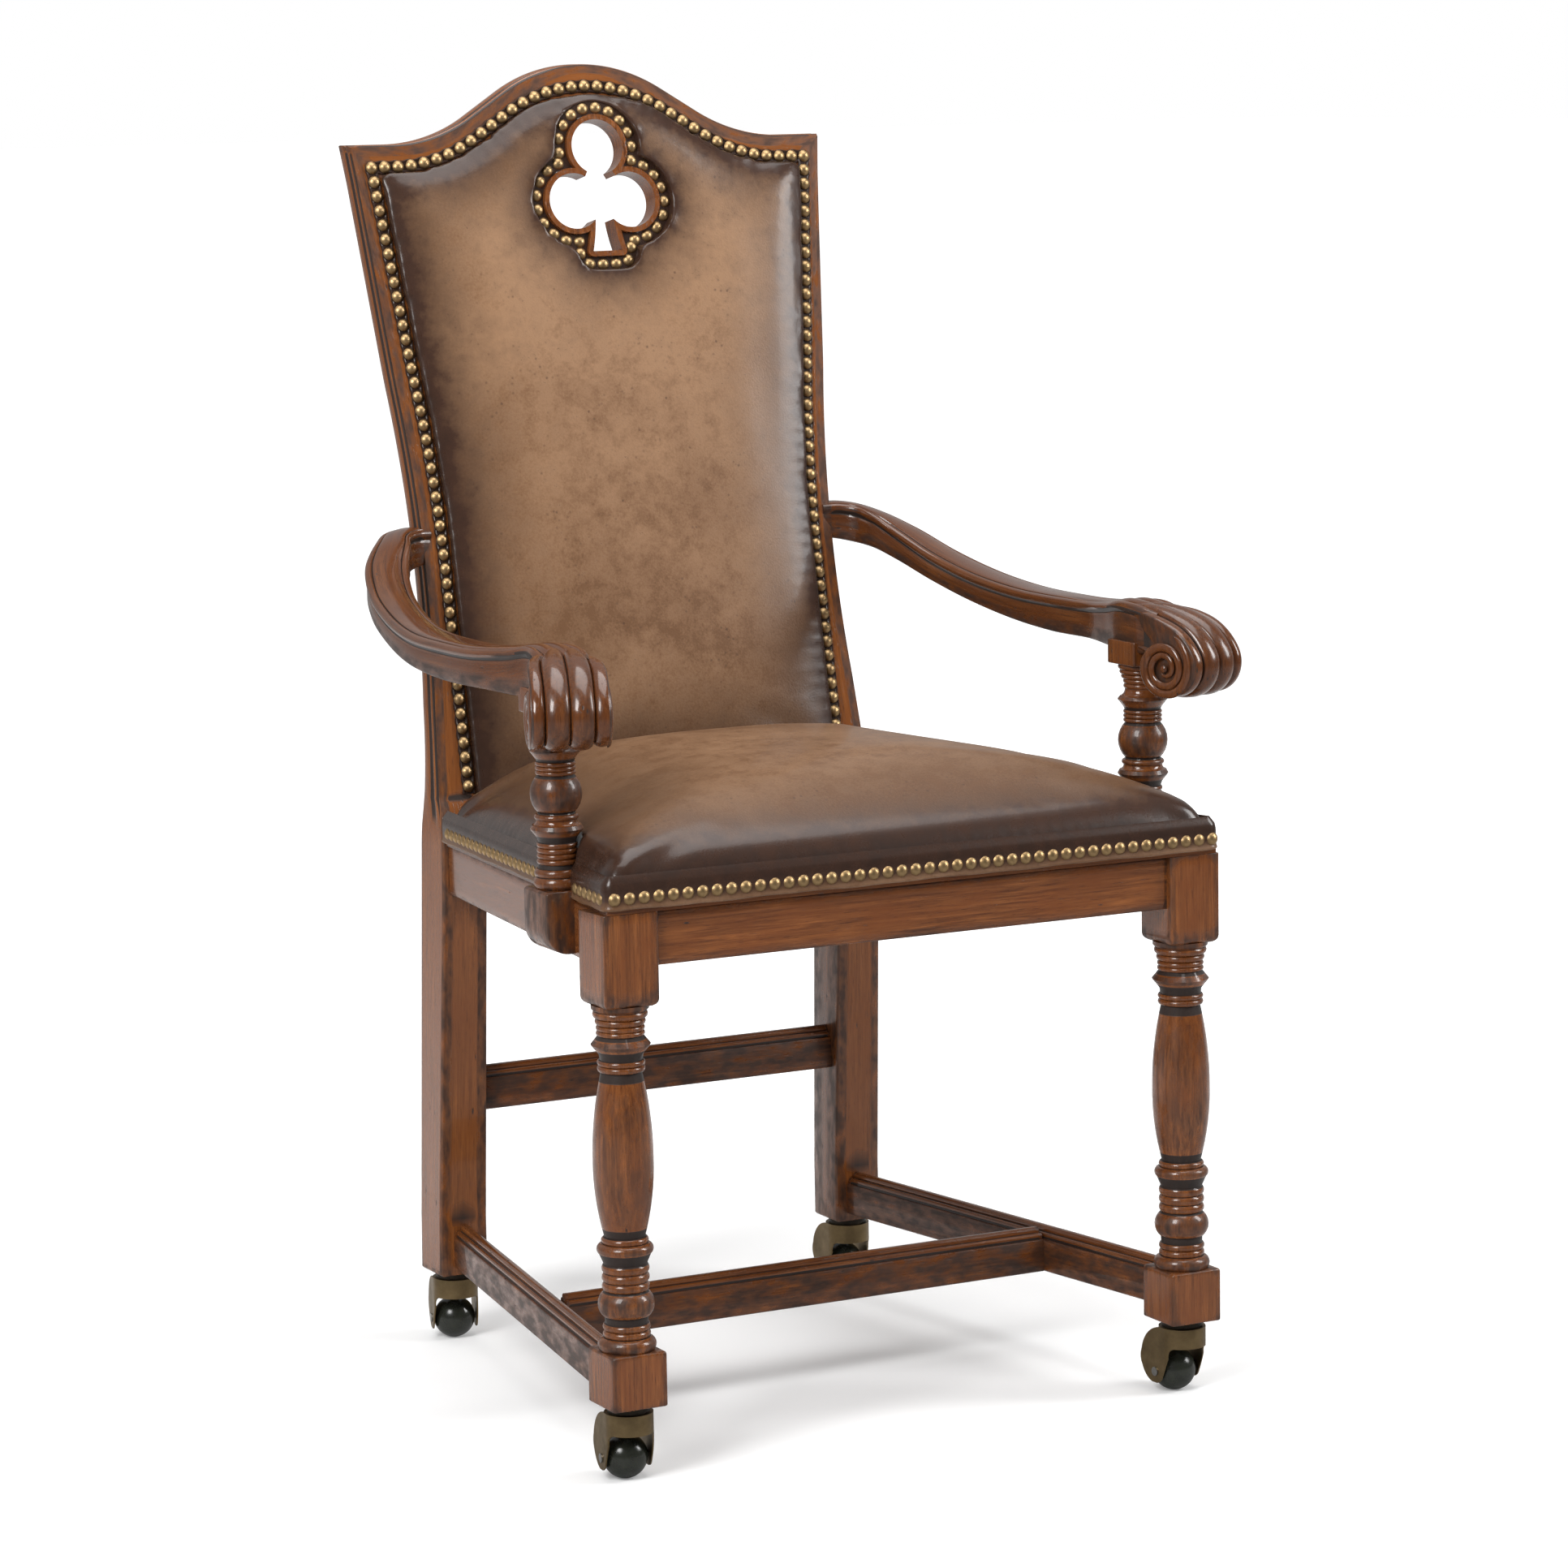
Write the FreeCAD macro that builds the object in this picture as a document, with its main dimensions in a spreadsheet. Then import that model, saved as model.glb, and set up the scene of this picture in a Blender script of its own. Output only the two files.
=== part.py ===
import FreeCAD
import Part
import os
from math import asin, ceil, cos, degrees, radians, sin, sqrt, tan
from types import SimpleNamespace

# High back armchair on ball casters, in millimetres. X is across, the front faces -Y, Z is up from the floor.
doc = FreeCAD.newDocument("HighBackArmchair")
V = FreeCAD.Vector

# Driving sizes: lengths in millimetres, names that end in turn, tilt or rake in degrees.
SIZES = {
    # front legs
    "leg_block": 50.0,
    "front_leg_x": 272.0,
    "front_leg_y": -302.2,
    "leg_underside": 67.0,
    "lower_block_height": 47.0,
    "upper_block_height": 79.5,
    "turn_neck": 18.5,
    "turn_ring": 19.7,
    "turn_bulb": 23.4,
    "turn_vase": 25.4,
    "turn_spool": 25.0,
    # seat frame
    "rail_top": 485.0,
    "rail_height": 45.5,
    "rail_thickness": 25.0,
    "front_rail_inset": 6.5,
    "side_rail_inset": 8.5,
    "side_rail_rear_x": 220.5,
    "side_rail_run": 436.5,
    "rear_rail_inset": 15.0,
    "seat_tilt": 1.5,
    "tenon_length": 20.0,
    "tenon_shoulder": 6.0,
    "tenon_clearance": 0.2,
    "corner_block_height": 28.0,
    "corner_block_reach": 50.0,
    "corner_block_drop": 7.0,
    "screw_radius": 2.2,
    "screw_head_radius": 4.6,
    "screw_head_height": 2.6,
    "screw_clearance": 0.3,
    "screw_bite": 8.0,
    # rear legs and back frame
    "rear_leg_outer_x": 230.7,
    "rear_leg_width": 47.4,
    "rear_leg_depth": 46.5,
    "rear_leg_lean": 14.0,
    "leg_bend_x": 225.4,
    "leg_bend_z": 475.0,
    "leg_bend_width": 43.6,
    "knee_projection": 17.5,
    "knee_top": 490.0,
    "knee_bottom": 420.0,
    "knee_drop": 12.0,
    "knee_sweep": 22.0,
    "back_setback": 10.0,
    "back_rake": 11.3,
    "stile_thickness": 27.0,
    "stile_width": 45.0,
    "stile_low_x": 217.9,
    "stile_low_z": 594.0,
    "waist_x": 212.4,
    "waist_z": 712.0,
    "stile_high_x": 222.8,
    "stile_high_z": 884.0,
    "horn_x": 239.0,
    "horn_z": 1066.0,
    "corner_x": 246.0,
    "corner_z": 1101.6,
    "crest_rise": 69.6,
    "crest_slope": 31.8,
    "crest_hollow_radius": 154.0,
    "crest_crown_radius": 153.0,
    "mitre_z": 1056.0,
    "back_rail_bottom": 564.0,
    "back_rail_height": 62.0,
    "back_rail_thickness": 20.0,
    "back_board_thickness": 8.0,
    "back_cover_thickness": 2.5,
    "back_cover_lap": 22.0,
    "panel_clearance": 1.0,
    # back pad, its border strip and the club opening
    "border_low_x": 191.7,
    "border_low_z": 704.0,
    "border_high_x": 203.8,
    "border_high_z": 896.0,
    "border_corner_x": 223.1,
    "border_corner_z": 1081.0,
    "border_bottom_z": 509.0,
    "border_strip_width": 13.0,
    "border_strip_thickness": 2.0,
    "pad_thickness": 24.0,
    "pad_clearance": 0.4,
    "club_top_z": 1092.0,
    "club_side_z": 1043.0,
    "club_side_x": 28.2,
    "club_radius": 26.0,
    "club_stem_half": 8.5,
    "club_foot_half": 14.8,
    "club_foot_z": 996.5,
    "liner_wall": 5.0,
    "liner_projection": 15.0,
    "liner_seat": 5.0,
    "club_flare": 12.0,
    "club_ring_width": 12.5,
    "club_ring_thickness": 2.0,
    "club_ring_seat": 9.0,
    # nails
    "nail_radius": 5.7,
    "nail_height": 3.2,
    "nail_pitch": 13.4,
    # seat
    "deck_thickness": 14.0,
    "deck_side_inset": 3.5,
    "deck_rear_overhang": 2.9,
    "deck_rear_gap": 2.5,
    "band_thickness": 3.0,
    "band_height": 20.0,
    "band_nail_height": 13.0,
    "cushion_crown": 85.0,
    "cushion_rear_gap": 4.0,
    "cushion_clearance": 0.6,
    # arms and their posts
    "arm_width": 40.0,
    "arm_height": 36.5,
    "arm_top": 688.0,
    "arm_joint_rise": 68.0,
    "arm_front_rise": 9.0,
    "arm_front_height": 41.5,
    "arm_side_x": 301.0,
    "post_setback": 83.7,
    "post_x": 286.6,
    "post_block_half": 23.0,
    "post_block_outer": 21.5,
    "post_block_top": 493.0,
    "post_block_curve": 20.0,
    "post_cap_half": 18.5,
    "post_cap_height": 15.0,
    "post_neck": 17.0,
    "post_ball": 21.5,
    "post_spool": 22.3,
    "post_clearance": 0.6,
    "post_screw_spread": 13.0,
    "knuckle_setback": 29.0,
    "knuckle_z": 640.6,
    "knuckle_turn": 20.0,
    "knuckle_width": 66.0,
    "knuckle_reach": 38.0,
    "knuckle_drop": 24.0,
    # stretchers
    "stretcher_thickness": 22.5,
    "stretcher_height": 40.0,
    "stretcher_step": 29.5,
    "stretcher_ledge": 2.6,
    "stretcher_bottom": 74.0,
    "stretcher_front_x": 287.4,
    "stretcher_rear_x": 217.2,
    "cross_stretcher_setback": 196.0,
    "stretcher_tenon": 14.0,
    "rear_stretcher_bottom": 218.0,
    "rear_stretcher_inset": 5.0,
    # casters
    "ball_radius": 19.2,
    "ball_trail": 12.0,
    "axle_radius": 2.5,
    "axle_head_radius": 4.0,
    "axle_head_height": 1.2,
    "running_clearance": 0.05,
    "free_clearance": 0.4,
    "hood_radius": 20.8,
    "hood_wall": 1.2,
    "hood_band": 17.5,
    "ear_reach": 33.0,
    "ear_tip": 9.0,
    "stem_radius": 4.0,
    "stem_head_radius": 8.0,
    "stem_head_height": 2.5,
    "stem_grip": 36.0,
    "socket_radius": 6.5,
    "socket_depth": 40.0,
    "socket_flange_radius": 18.0,
    "socket_flange_height": 6.0,
    "front_left_turn": -7.5,
    "front_right_turn": 5.5,
    "rear_left_turn": -15.5,
    "rear_right_turn": 0.0,
}
sheet = doc.addObject("Spreadsheet::Sheet", "Sizes")
for row, (alias, number) in enumerate(SIZES.items(), start=1):
    sheet.set("A%d" % row, alias)
    sheet.set("B%d" % row, str(number))
    sheet.setAlias("B%d" % row, alias)
doc.recompute()
size = SimpleNamespace(**{alias: float(sheet.get(alias)) for alias in SIZES})

FRONT_VIEW = FreeCAD.Rotation(V(1, 0, 0), 90)
SIDE_VIEW = FreeCAD.Rotation(V(1, 1, 1), 120)
pieces = []


def keep(piece, label):
    """Names a finished piece and puts it on the list that is written out."""
    piece.Label = label
    pieces.append(piece)
    return piece


def bind(piece, **texts):
    """Binds properties to the sheet; two underscores in a name stand for a point."""
    for name, text in texts.items():
        piece.setExpression(name.replace("__", "."), text)
    return piece


def outline(start, *steps):
    """Closed outline: a step of two numbers is a line, one of four is an arc through its first point."""
    curves = []
    here = V(*start)
    for step in steps + (start,):
        there = V(*step[-2:])
        if len(step) == 4:
            curves.append(Part.Arc(here, V(*step[:2]), there))
        elif (there - here).Length > 1e-6:
            curves.append(Part.LineSegment(here, there))
        here = there
    return curves


def wire(curves):
    return Part.Wire([curve.toShape() for curve in curves])


def face(curves):
    return Part.Face(wire(curves))


def prism(curves, start, vector):
    """Outline of the front view, moved to a start point and drawn out along a vector."""
    flat = face(curves)
    flat.Placement = FreeCAD.Placement(start, FRONT_VIEW)
    return flat.extrude(vector)


def block(low, high):
    return Part.makeBox(high[0] - low[0], high[1] - low[1], high[2] - low[2], V(*low))


def feature(name, shape, place=None):
    piece = doc.addObject("Part::Feature", name)
    piece.Shape = shape
    if place is not None:
        piece.Placement = place
    return piece


def extrusion(name, curves, place, length):
    """Sketch in a plane of its own, drawn out by a length bound to the sheet."""
    sketch = doc.addObject("Sketcher::SketchObject", name + "_sketch")
    sketch.Placement = place
    for curve in curves:
        sketch.addGeometry(curve, False)
    drawn = doc.addObject("Part::Extrusion", name + "_blank")
    drawn.Base = sketch
    drawn.DirMode = "Normal"
    drawn.Solid = True
    return bind(drawn, LengthFwd=length)


def cut(name, base, tools):
    """Base piece less one or more tools."""
    tool = tools[0]
    if len(tools) > 1:
        tool = doc.addObject("Part::MultiFuse", name + "_tools")
        tool.Shapes = tools
    piece = doc.addObject("Part::Cut", name)
    piece.Base = base
    piece.Tool = tool
    return piece


def fuse(name, shapes):
    piece = doc.addObject("Part::MultiFuse", name)
    piece.Shapes = shapes
    return piece


def mirror(name, source):
    """The same piece on the other side of the chair."""
    piece = doc.addObject("Part::Mirroring", name)
    piece.Source = source
    piece.Normal = V(1, 0, 0)
    return piece


def turning(name, steps, place):
    """Turned piece: half profile of radius and height, revolved about its axis."""
    body = doc.addObject("PartDesign::Body", name)
    plane = [item for item in body.Origin.OriginFeatures if item.Role == "XZ_Plane"][0]
    sketch = body.newObject("Sketcher::SketchObject", name + "_profile")
    sketch.AttachmentSupport = [(plane, "")]
    sketch.MapMode = "FlatFace"
    first, last = steps[0][-1], steps[-1][-1]
    for curve in outline((0, first), *steps, (0, last)):
        sketch.addGeometry(curve, False)
    spin = body.newObject("PartDesign::Revolution", name + "_turning")
    spin.Profile = sketch
    spin.ReferenceAxis = (sketch, ["V_Axis"])
    spin.Angle = 360.0
    body.Placement = place
    return body


def nail_heads(places):
    """Domed nail heads, each on a base point with its outward direction."""
    dome = (size.nail_radius ** 2 + size.nail_height ** 2) / (2 * size.nail_height)
    sink = dome - size.nail_height
    low = degrees(asin(sink / dome))
    return Part.makeCompound(
        [Part.makeSphere(dome, base - out * sink, out, low, 90, 360) for base, out in places])


# Planes that several pieces share.
leg_front_y = size.front_leg_y - size.leg_block / 2
leg_rear_y = size.front_leg_y + size.leg_block / 2
leg_inner_x = size.front_leg_x - size.leg_block / 2
leg_outer_x = size.front_leg_x + size.leg_block / 2
knee_y = leg_rear_y + size.side_rail_run
foot_front_y = knee_y + size.knee_projection
foot_back_y = foot_front_y + size.rear_leg_depth
back_y = knee_y + size.back_setback
foot_top = size.stretcher_bottom + size.stretcher_height + size.tenon_shoulder
post_y = size.front_leg_y + size.post_setback
knuckle_y = size.front_leg_y + size.knuckle_setback
cross_stretcher_y = size.front_leg_y + size.cross_stretcher_setback
rake = radians(size.back_rake)
tilt = radians(size.seat_tilt)
ACROSS = V(1, 0, 0)
seat_place = FreeCAD.Placement(V(0, leg_front_y, size.rail_top), FreeCAD.Rotation(ACROSS, -size.seat_tilt))
back_place = FreeCAD.Placement(V(0, back_y, size.knee_top), FreeCAD.Rotation(ACROSS, 90 - size.back_rake))


def seat_z(y):
    """Height of the sloping seat frame's top over the floor."""
    return size.rail_top - (y - leg_front_y) * tan(tilt)


def up_back(z):
    """Distance up the raked front plane of the back for a height over the floor."""
    return (z - size.knee_top) / cos(rake)


def back_front_y(z):
    return back_y + (z - size.knee_top) * tan(rake)


waist = Part.Arc(V(size.stile_low_x, size.stile_low_z), V(size.waist_x, size.waist_z),
                 V(size.stile_high_x, size.stile_high_z)).toShape().Curve


def rear_leg_inner_x(z):
    """Inner edge of a rear leg and its stile at a height: two straights, the waist's arc, then straight."""
    foot = size.rear_leg_outer_x - size.rear_leg_width
    bend = size.leg_bend_x - size.leg_bend_width
    low = size.stile_low_x - size.stile_width
    if z <= size.leg_bend_z:
        return foot + (bend - foot) * (z - size.leg_underside) / (size.leg_bend_z - size.leg_underside)
    if z <= size.stile_low_z:
        return bend + (low - bend) * (z - size.leg_bend_z) / (size.stile_low_z - size.leg_bend_z)
    if z <= size.stile_high_z:
        return waist.Center.x - sqrt(waist.Radius ** 2 - (z - waist.Center.y) ** 2) - size.stile_width
    flare = (size.horn_x - size.stile_high_x) / (size.horn_z - size.stile_high_z)
    return size.stile_high_x + flare * (z - size.stile_high_z) - size.stile_width


# Seat rails: the side rails taper in plan and slope down to the rear legs, with tenons at both ends.
side_rail_front_x = leg_outer_x - size.side_rail_inset
rail_fall = size.side_rail_run * tan(tilt)
rail_vector = V(size.side_rail_rear_x - side_rail_front_x, size.side_rail_run, -rail_fall)
rail_share = size.tenon_length / size.side_rail_run
rail_top_front = seat_z(leg_rear_y)
rail_low_front = rail_top_front - size.rail_height


def side_bar(low_x, high_x, low_z, high_z, vector, share):
    """Bar from the front leg's rear face along a vector, reaching past both ends by a share of it."""
    section = outline((low_x, low_z), (high_x, low_z), (high_x, high_z), (low_x, high_z))
    return prism(section, V(0, leg_rear_y, 0) - vector * share, vector * (1 + 2 * share))


side_rail_inner_x = side_rail_front_x - size.rail_thickness
side_rail_tenons = side_bar(
    side_rail_inner_x + size.tenon_shoulder, side_rail_front_x - size.tenon_shoulder,
    rail_low_front + size.tenon_shoulder, rail_top_front - size.tenon_shoulder, rail_vector, rail_share)
fit = size.tenon_clearance
side_rail_mortises = feature("side_rail_mortises", side_bar(
    side_rail_inner_x + size.tenon_shoulder - fit, side_rail_front_x - size.tenon_shoulder + fit,
    rail_low_front + size.tenon_shoulder - fit, rail_top_front - size.tenon_shoulder + fit,
    rail_vector, rail_share + fit / size.side_rail_run))
side_rail_blank = feature("side_rail_blank", side_bar(
    side_rail_inner_x, side_rail_front_x, rail_low_front, rail_top_front,
    rail_vector, 0).fuse(side_rail_tenons).removeSplitter())


def rail_x(y, inset=0.0):
    """Place across the chair of the side rail's outer face."""
    return side_rail_front_x + rail_vector.x * (y - leg_rear_y) / size.side_rail_run - inset


# The sloping plane of the seat frame's top, as a block that trims the pieces below it.
seat_trim = doc.addObject("Part::Box", "seat_trim")
bind(seat_trim, Length="4 * Sizes.front_leg_x", Width="2 * Sizes.side_rail_run", Height="Sizes.rail_height")
seat_trim.Placement = seat_place.multiply(
    FreeCAD.Placement(V(-2 * size.front_leg_x, -size.leg_block, 0), FreeCAD.Rotation()))

# Front rail between the front legs, a little behind their front faces.
front_rail_core = bind(
    doc.addObject("Part::Box", "front_rail_core"),
    Length="2 * Sizes.front_leg_x - Sizes.leg_block", Width="Sizes.rail_thickness",
    Height="Sizes.rail_height",
    Placement__Base__x="Sizes.leg_block / 2 - Sizes.front_leg_x",
    Placement__Base__y="Sizes.front_leg_y - Sizes.leg_block / 2 + Sizes.front_rail_inset",
    Placement__Base__z="Sizes.rail_top - Sizes.rail_height")
front_rail_tenons = bind(
    doc.addObject("Part::Box", "front_rail_tenons"),
    Length="2 * Sizes.front_leg_x - Sizes.leg_block + 2 * Sizes.tenon_length",
    Width="Sizes.rail_thickness - 2 * Sizes.tenon_shoulder",
    Height="Sizes.rail_height - 2 * Sizes.tenon_shoulder",
    Placement__Base__x="Sizes.leg_block / 2 - Sizes.front_leg_x - Sizes.tenon_length",
    Placement__Base__y="Sizes.front_leg_y - Sizes.leg_block / 2 + Sizes.front_rail_inset"
    " + Sizes.tenon_shoulder",
    Placement__Base__z="Sizes.rail_top - Sizes.rail_height + Sizes.tenon_shoulder")
front_rail_mortises = bind(
    doc.addObject("Part::Box", "front_rail_mortises"),
    Length="2 * (Sizes.front_leg_x - Sizes.leg_block / 2 + Sizes.tenon_length + Sizes.tenon_clearance)",
    Width="Sizes.rail_thickness - 2 * Sizes.tenon_shoulder + 2 * Sizes.tenon_clearance",
    Height="Sizes.rail_height - 2 * Sizes.tenon_shoulder + 2 * Sizes.tenon_clearance",
    Placement__Base__x="Sizes.leg_block / 2 - Sizes.front_leg_x - Sizes.tenon_length - Sizes.tenon_clearance",
    Placement__Base__y="Sizes.front_leg_y - Sizes.leg_block / 2 + Sizes.front_rail_inset"
    " + Sizes.tenon_shoulder - Sizes.tenon_clearance",
    Placement__Base__z="Sizes.rail_top - Sizes.rail_height + Sizes.tenon_shoulder - Sizes.tenon_clearance")
front_rail = cut("front_rail", fuse("front_rail_whole", [front_rail_core, front_rail_tenons]), [seat_trim])
keep(front_rail, "front_seat_rail")


def leg_bar(name, low_z, high_z, front_y, thickness, top):
    """Bar across between the rear legs' sloping inner faces, and the tool that cuts its mortises."""
    low, high = rear_leg_inner_x(low_z), rear_leg_inner_x(high_z)
    core = extrusion(
        name, outline((-low, low_z), (low, low_z), (high, high_z), (-high, high_z)),
        FreeCAD.Placement(V(0, front_y, 0), FRONT_VIEW), thickness)
    core.Reversed = True
    deep = core.evalExpression(thickness)
    edge = size.tenon_shoulder
    reach = high + size.tenon_length
    tenons = feature(name + "_tenons", block(
        (-reach, front_y + edge, low_z + edge), (reach, front_y + deep - edge, high_z - edge - top)))
    mortises = feature(name + "_mortises", block(
        (-reach - fit, front_y + edge - fit, low_z + edge - fit),
        (reach + fit, front_y + deep - edge + fit, high_z - edge - top + fit)))
    return core, tenons, mortises


rear_rail_y = knee_y + size.rear_rail_inset
rear_rail_top = seat_z(rear_rail_y + size.rail_thickness)
rear_core, rear_tenons, rear_mortises = leg_bar(
    "rear_rail", rear_rail_top - size.rail_height, rear_rail_top, rear_rail_y, "Sizes.rail_thickness", 0.0)
keep(fuse("rear_rail", [rear_core, rear_tenons]), "rear_seat_rail")

# Stretchers have flat sides, a step and a rounded top.
def stretcher_section(low_x, low_z):
    wide, tall, step = size.stretcher_thickness, size.stretcher_height, size.stretcher_step
    step_in = size.stretcher_ledge
    return outline(
        (low_x, low_z), (low_x + wide, low_z), (low_x + wide, low_z + step),
        (low_x + wide - step_in, low_z + step), (low_x + wide - step_in, low_z + step + step_in),
        (low_x + wide / 2, low_z + tall, low_x + step_in, low_z + step + step_in),
        (low_x + step_in, low_z + step), (low_x, low_z + step))


stretcher_run = foot_front_y - leg_rear_y
stretcher_vector = V(size.stretcher_rear_x - size.stretcher_front_x, stretcher_run, 0)
stretcher_share = size.stretcher_tenon / stretcher_run
stretcher_inner_x = size.stretcher_front_x - size.stretcher_thickness
stretcher_low = size.stretcher_bottom + size.tenon_shoulder
stretcher_high = size.stretcher_bottom + size.stretcher_step - size.tenon_shoulder / 2
side_stretcher_mortises = feature("side_stretcher_mortises", side_bar(
    stretcher_inner_x + size.tenon_shoulder - fit, size.stretcher_front_x - size.tenon_shoulder + fit,
    stretcher_low - fit, stretcher_high + fit, stretcher_vector, stretcher_share + fit / stretcher_run))
side_stretcher_blank = feature("side_stretcher_blank", prism(
    stretcher_section(stretcher_inner_x, size.stretcher_bottom),
    V(0, leg_rear_y, 0), stretcher_vector).fuse(side_bar(
        stretcher_inner_x + size.tenon_shoulder, size.stretcher_front_x - size.tenon_shoulder,
        stretcher_low, stretcher_high, stretcher_vector, stretcher_share)).removeSplitter())


def stretcher_x(y):
    """Inner face of a side stretcher."""
    return stretcher_inner_x + stretcher_vector.x * (y - leg_rear_y) / stretcher_run


# Cross stretcher between the side stretchers, its ends cut to their angle, tenoned into them.
cross_low = cross_stretcher_y - size.stretcher_thickness / 2
cross_high = cross_stretcher_y + size.stretcher_thickness / 2
cross_length = 2 * stretcher_x(cross_low)
cross_flat = face(stretcher_section(cross_low, size.stretcher_bottom))
cross_flat.Placement = FreeCAD.Placement(V(-cross_length / 2, 0, 0), SIDE_VIEW)
cross_bar = feature("cross_stretcher_bar", cross_flat.extrude(V(cross_length, 0, 0)))
cross_plan = extrusion(
    "cross_stretcher_plan",
    outline((-stretcher_x(cross_low), cross_low), (stretcher_x(cross_low), cross_low),
            (stretcher_x(cross_high), cross_high), (-stretcher_x(cross_high), cross_high)),
    FreeCAD.Placement(V(0, 0, size.stretcher_bottom), FreeCAD.Rotation()), "Sizes.stretcher_height")
cross_trimmed = doc.addObject("Part::Common", "cross_stretcher_trimmed")
cross_trimmed.Base = cross_bar
cross_trimmed.Tool = cross_plan
cross_reach = stretcher_x(cross_high) + size.stretcher_thickness / 2
cross_tenons = feature("cross_stretcher_tenons", block(
    (-cross_reach, cross_low + size.tenon_shoulder, stretcher_low),
    (cross_reach, cross_high - size.tenon_shoulder, stretcher_high)))
cross_mortises = feature("cross_stretcher_mortises", block(
    (-cross_reach - fit, cross_low + size.tenon_shoulder - fit, stretcher_low - fit),
    (cross_reach + fit, cross_high - size.tenon_shoulder + fit, stretcher_high + fit)))
keep(fuse("cross_stretcher", [cross_trimmed, cross_tenons]), "cross_stretcher")
right_stretcher = cut("side_stretcher", side_stretcher_blank, [cross_mortises])
keep(right_stretcher, "right_stretcher")
keep(mirror("side_stretcher_mirror", right_stretcher), "left_stretcher")

# Rear stretcher, higher than the others, between the rear legs.
rear_stretcher_y = foot_front_y + size.rear_stretcher_inset
rear_stretcher_top = size.rear_stretcher_bottom + size.stretcher_height
back_core, back_tenons, back_mortises = leg_bar(
    "rear_stretcher", size.rear_stretcher_bottom, rear_stretcher_top, rear_stretcher_y,
    "Sizes.stretcher_thickness", size.stretcher_height - size.stretcher_step)
back_flat = face(stretcher_section(rear_stretcher_y, size.rear_stretcher_bottom))
back_flat.Placement = FreeCAD.Placement(V(-size.rear_leg_outer_x, 0, 0), SIDE_VIEW)
back_bar = feature("rear_stretcher_bar", back_flat.extrude(V(2 * size.rear_leg_outer_x, 0, 0)))
back_trimmed = doc.addObject("Part::Common", "rear_stretcher_trimmed")
back_trimmed.Base = back_core
back_trimmed.Tool = back_bar
keep(fuse("rear_stretcher", [back_trimmed, back_tenons]), "rear_stretcher")

# Front legs: square blocks at both ends, a long vase between stacked rings, sharp spools and beads.
turn_low = size.leg_underside + size.lower_block_height
turn_high = size.rail_top - size.upper_block_height
neck, ring = size.turn_neck, size.turn_ring
vase_low, vase_high = turn_low + 96.5, turn_high - 55.8
vase_wide = vase_low + 0.475 * (vase_high - vase_low)
leg_steps = [
    (size.turn_bulb - 1, turn_low),
    (size.turn_bulb + 1.2, turn_low + 5.7, neck + 1, turn_low + 11.2),
    (ring, turn_low + 14, neck, turn_low + 17), (ring, turn_low + 20, neck, turn_low + 23),
    (neck, turn_low + 28), (size.turn_bulb, turn_low + 41.5, neck, turn_low + 50.4),
    (ring, turn_low + 54, neck, turn_low + 58), (ring, turn_low + 61.8, neck, turn_low + 65.7),
    (ring, turn_low + 69.5, neck, turn_low + 73.5),
    (size.turn_bulb - 1.5, turn_low + 82), (size.turn_bulb + 0.2, turn_low + 85.5, neck + 1, turn_low + 91),
    (ring, turn_low + 93.8, neck - 1, vase_low),
    (size.turn_vase - 2.1, vase_low + 0.46 * (vase_wide - vase_low), size.turn_vase, vase_wide),
    (size.turn_vase - 2.2, vase_wide + 0.52 * (vase_high - vase_wide), neck - 1, vase_high),
    (ring, turn_high - 53, neck, turn_high - 50.4), (ring, turn_high - 48, neck, turn_high - 45.5),
    (neck, turn_high - 41), (size.turn_spool - 0.6, turn_high - 33.6), (size.turn_spool, turn_high - 32.6),
    (neck + 1, turn_high - 25.4), (ring + 0.4, turn_high - 23.2, neck + 0.7, turn_high - 21),
    (ring + 0.4, turn_high - 18.8, neck + 0.3, turn_high - 16.4),
    (neck + 2.4, turn_high - 13.4, neck + 1.6, turn_high - 10.6),
    (neck + 4.4, turn_high - 7.4, neck + 3.8, turn_high - 4.6), (size.turn_spool - 0.8, turn_high - 2.4),
    (size.turn_spool - 0.8, turn_high),
]
front_turning = turning("front_leg_turning", leg_steps, FreeCAD.Placement(
    V(size.front_leg_x, size.front_leg_y, 0), FreeCAD.Rotation()))
front_blocks = []
for part_name, low_z, tall in (
        ("lower", "Sizes.leg_underside", "Sizes.lower_block_height"),
        ("upper", "Sizes.rail_top - Sizes.upper_block_height", "Sizes.upper_block_height")):
    front_blocks.append(bind(
        doc.addObject("Part::Box", "front_leg_%s_block" % part_name),
        Length="Sizes.leg_block", Width="Sizes.leg_block", Height=tall,
        Placement__Base__x="Sizes.front_leg_x - Sizes.leg_block / 2",
        Placement__Base__y="Sizes.front_leg_y - Sizes.leg_block / 2", Placement__Base__z=low_z))


def caster_bore(name, x, y):
    """Hole in the underside of a leg for the caster's sleeve."""
    return bind(
        doc.addObject("Part::Cylinder", name),
        Radius="Sizes.socket_radius + Sizes.free_clearance",
        Height="Sizes.socket_depth + Sizes.free_clearance",
        Placement__Base__x=x, Placement__Base__y=y, Placement__Base__z="Sizes.leg_underside")


front_bore = caster_bore("front_caster_bore", "Sizes.front_leg_x", "Sizes.front_leg_y")
front_leg = cut("front_leg", fuse("front_leg_whole", [front_turning] + front_blocks), [
    side_rail_mortises, front_rail_mortises, side_stretcher_mortises, front_bore, seat_trim])
keep(front_leg, "front_leg_right")
keep(mirror("front_leg_mirror", front_leg), "front_leg_left")

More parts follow.
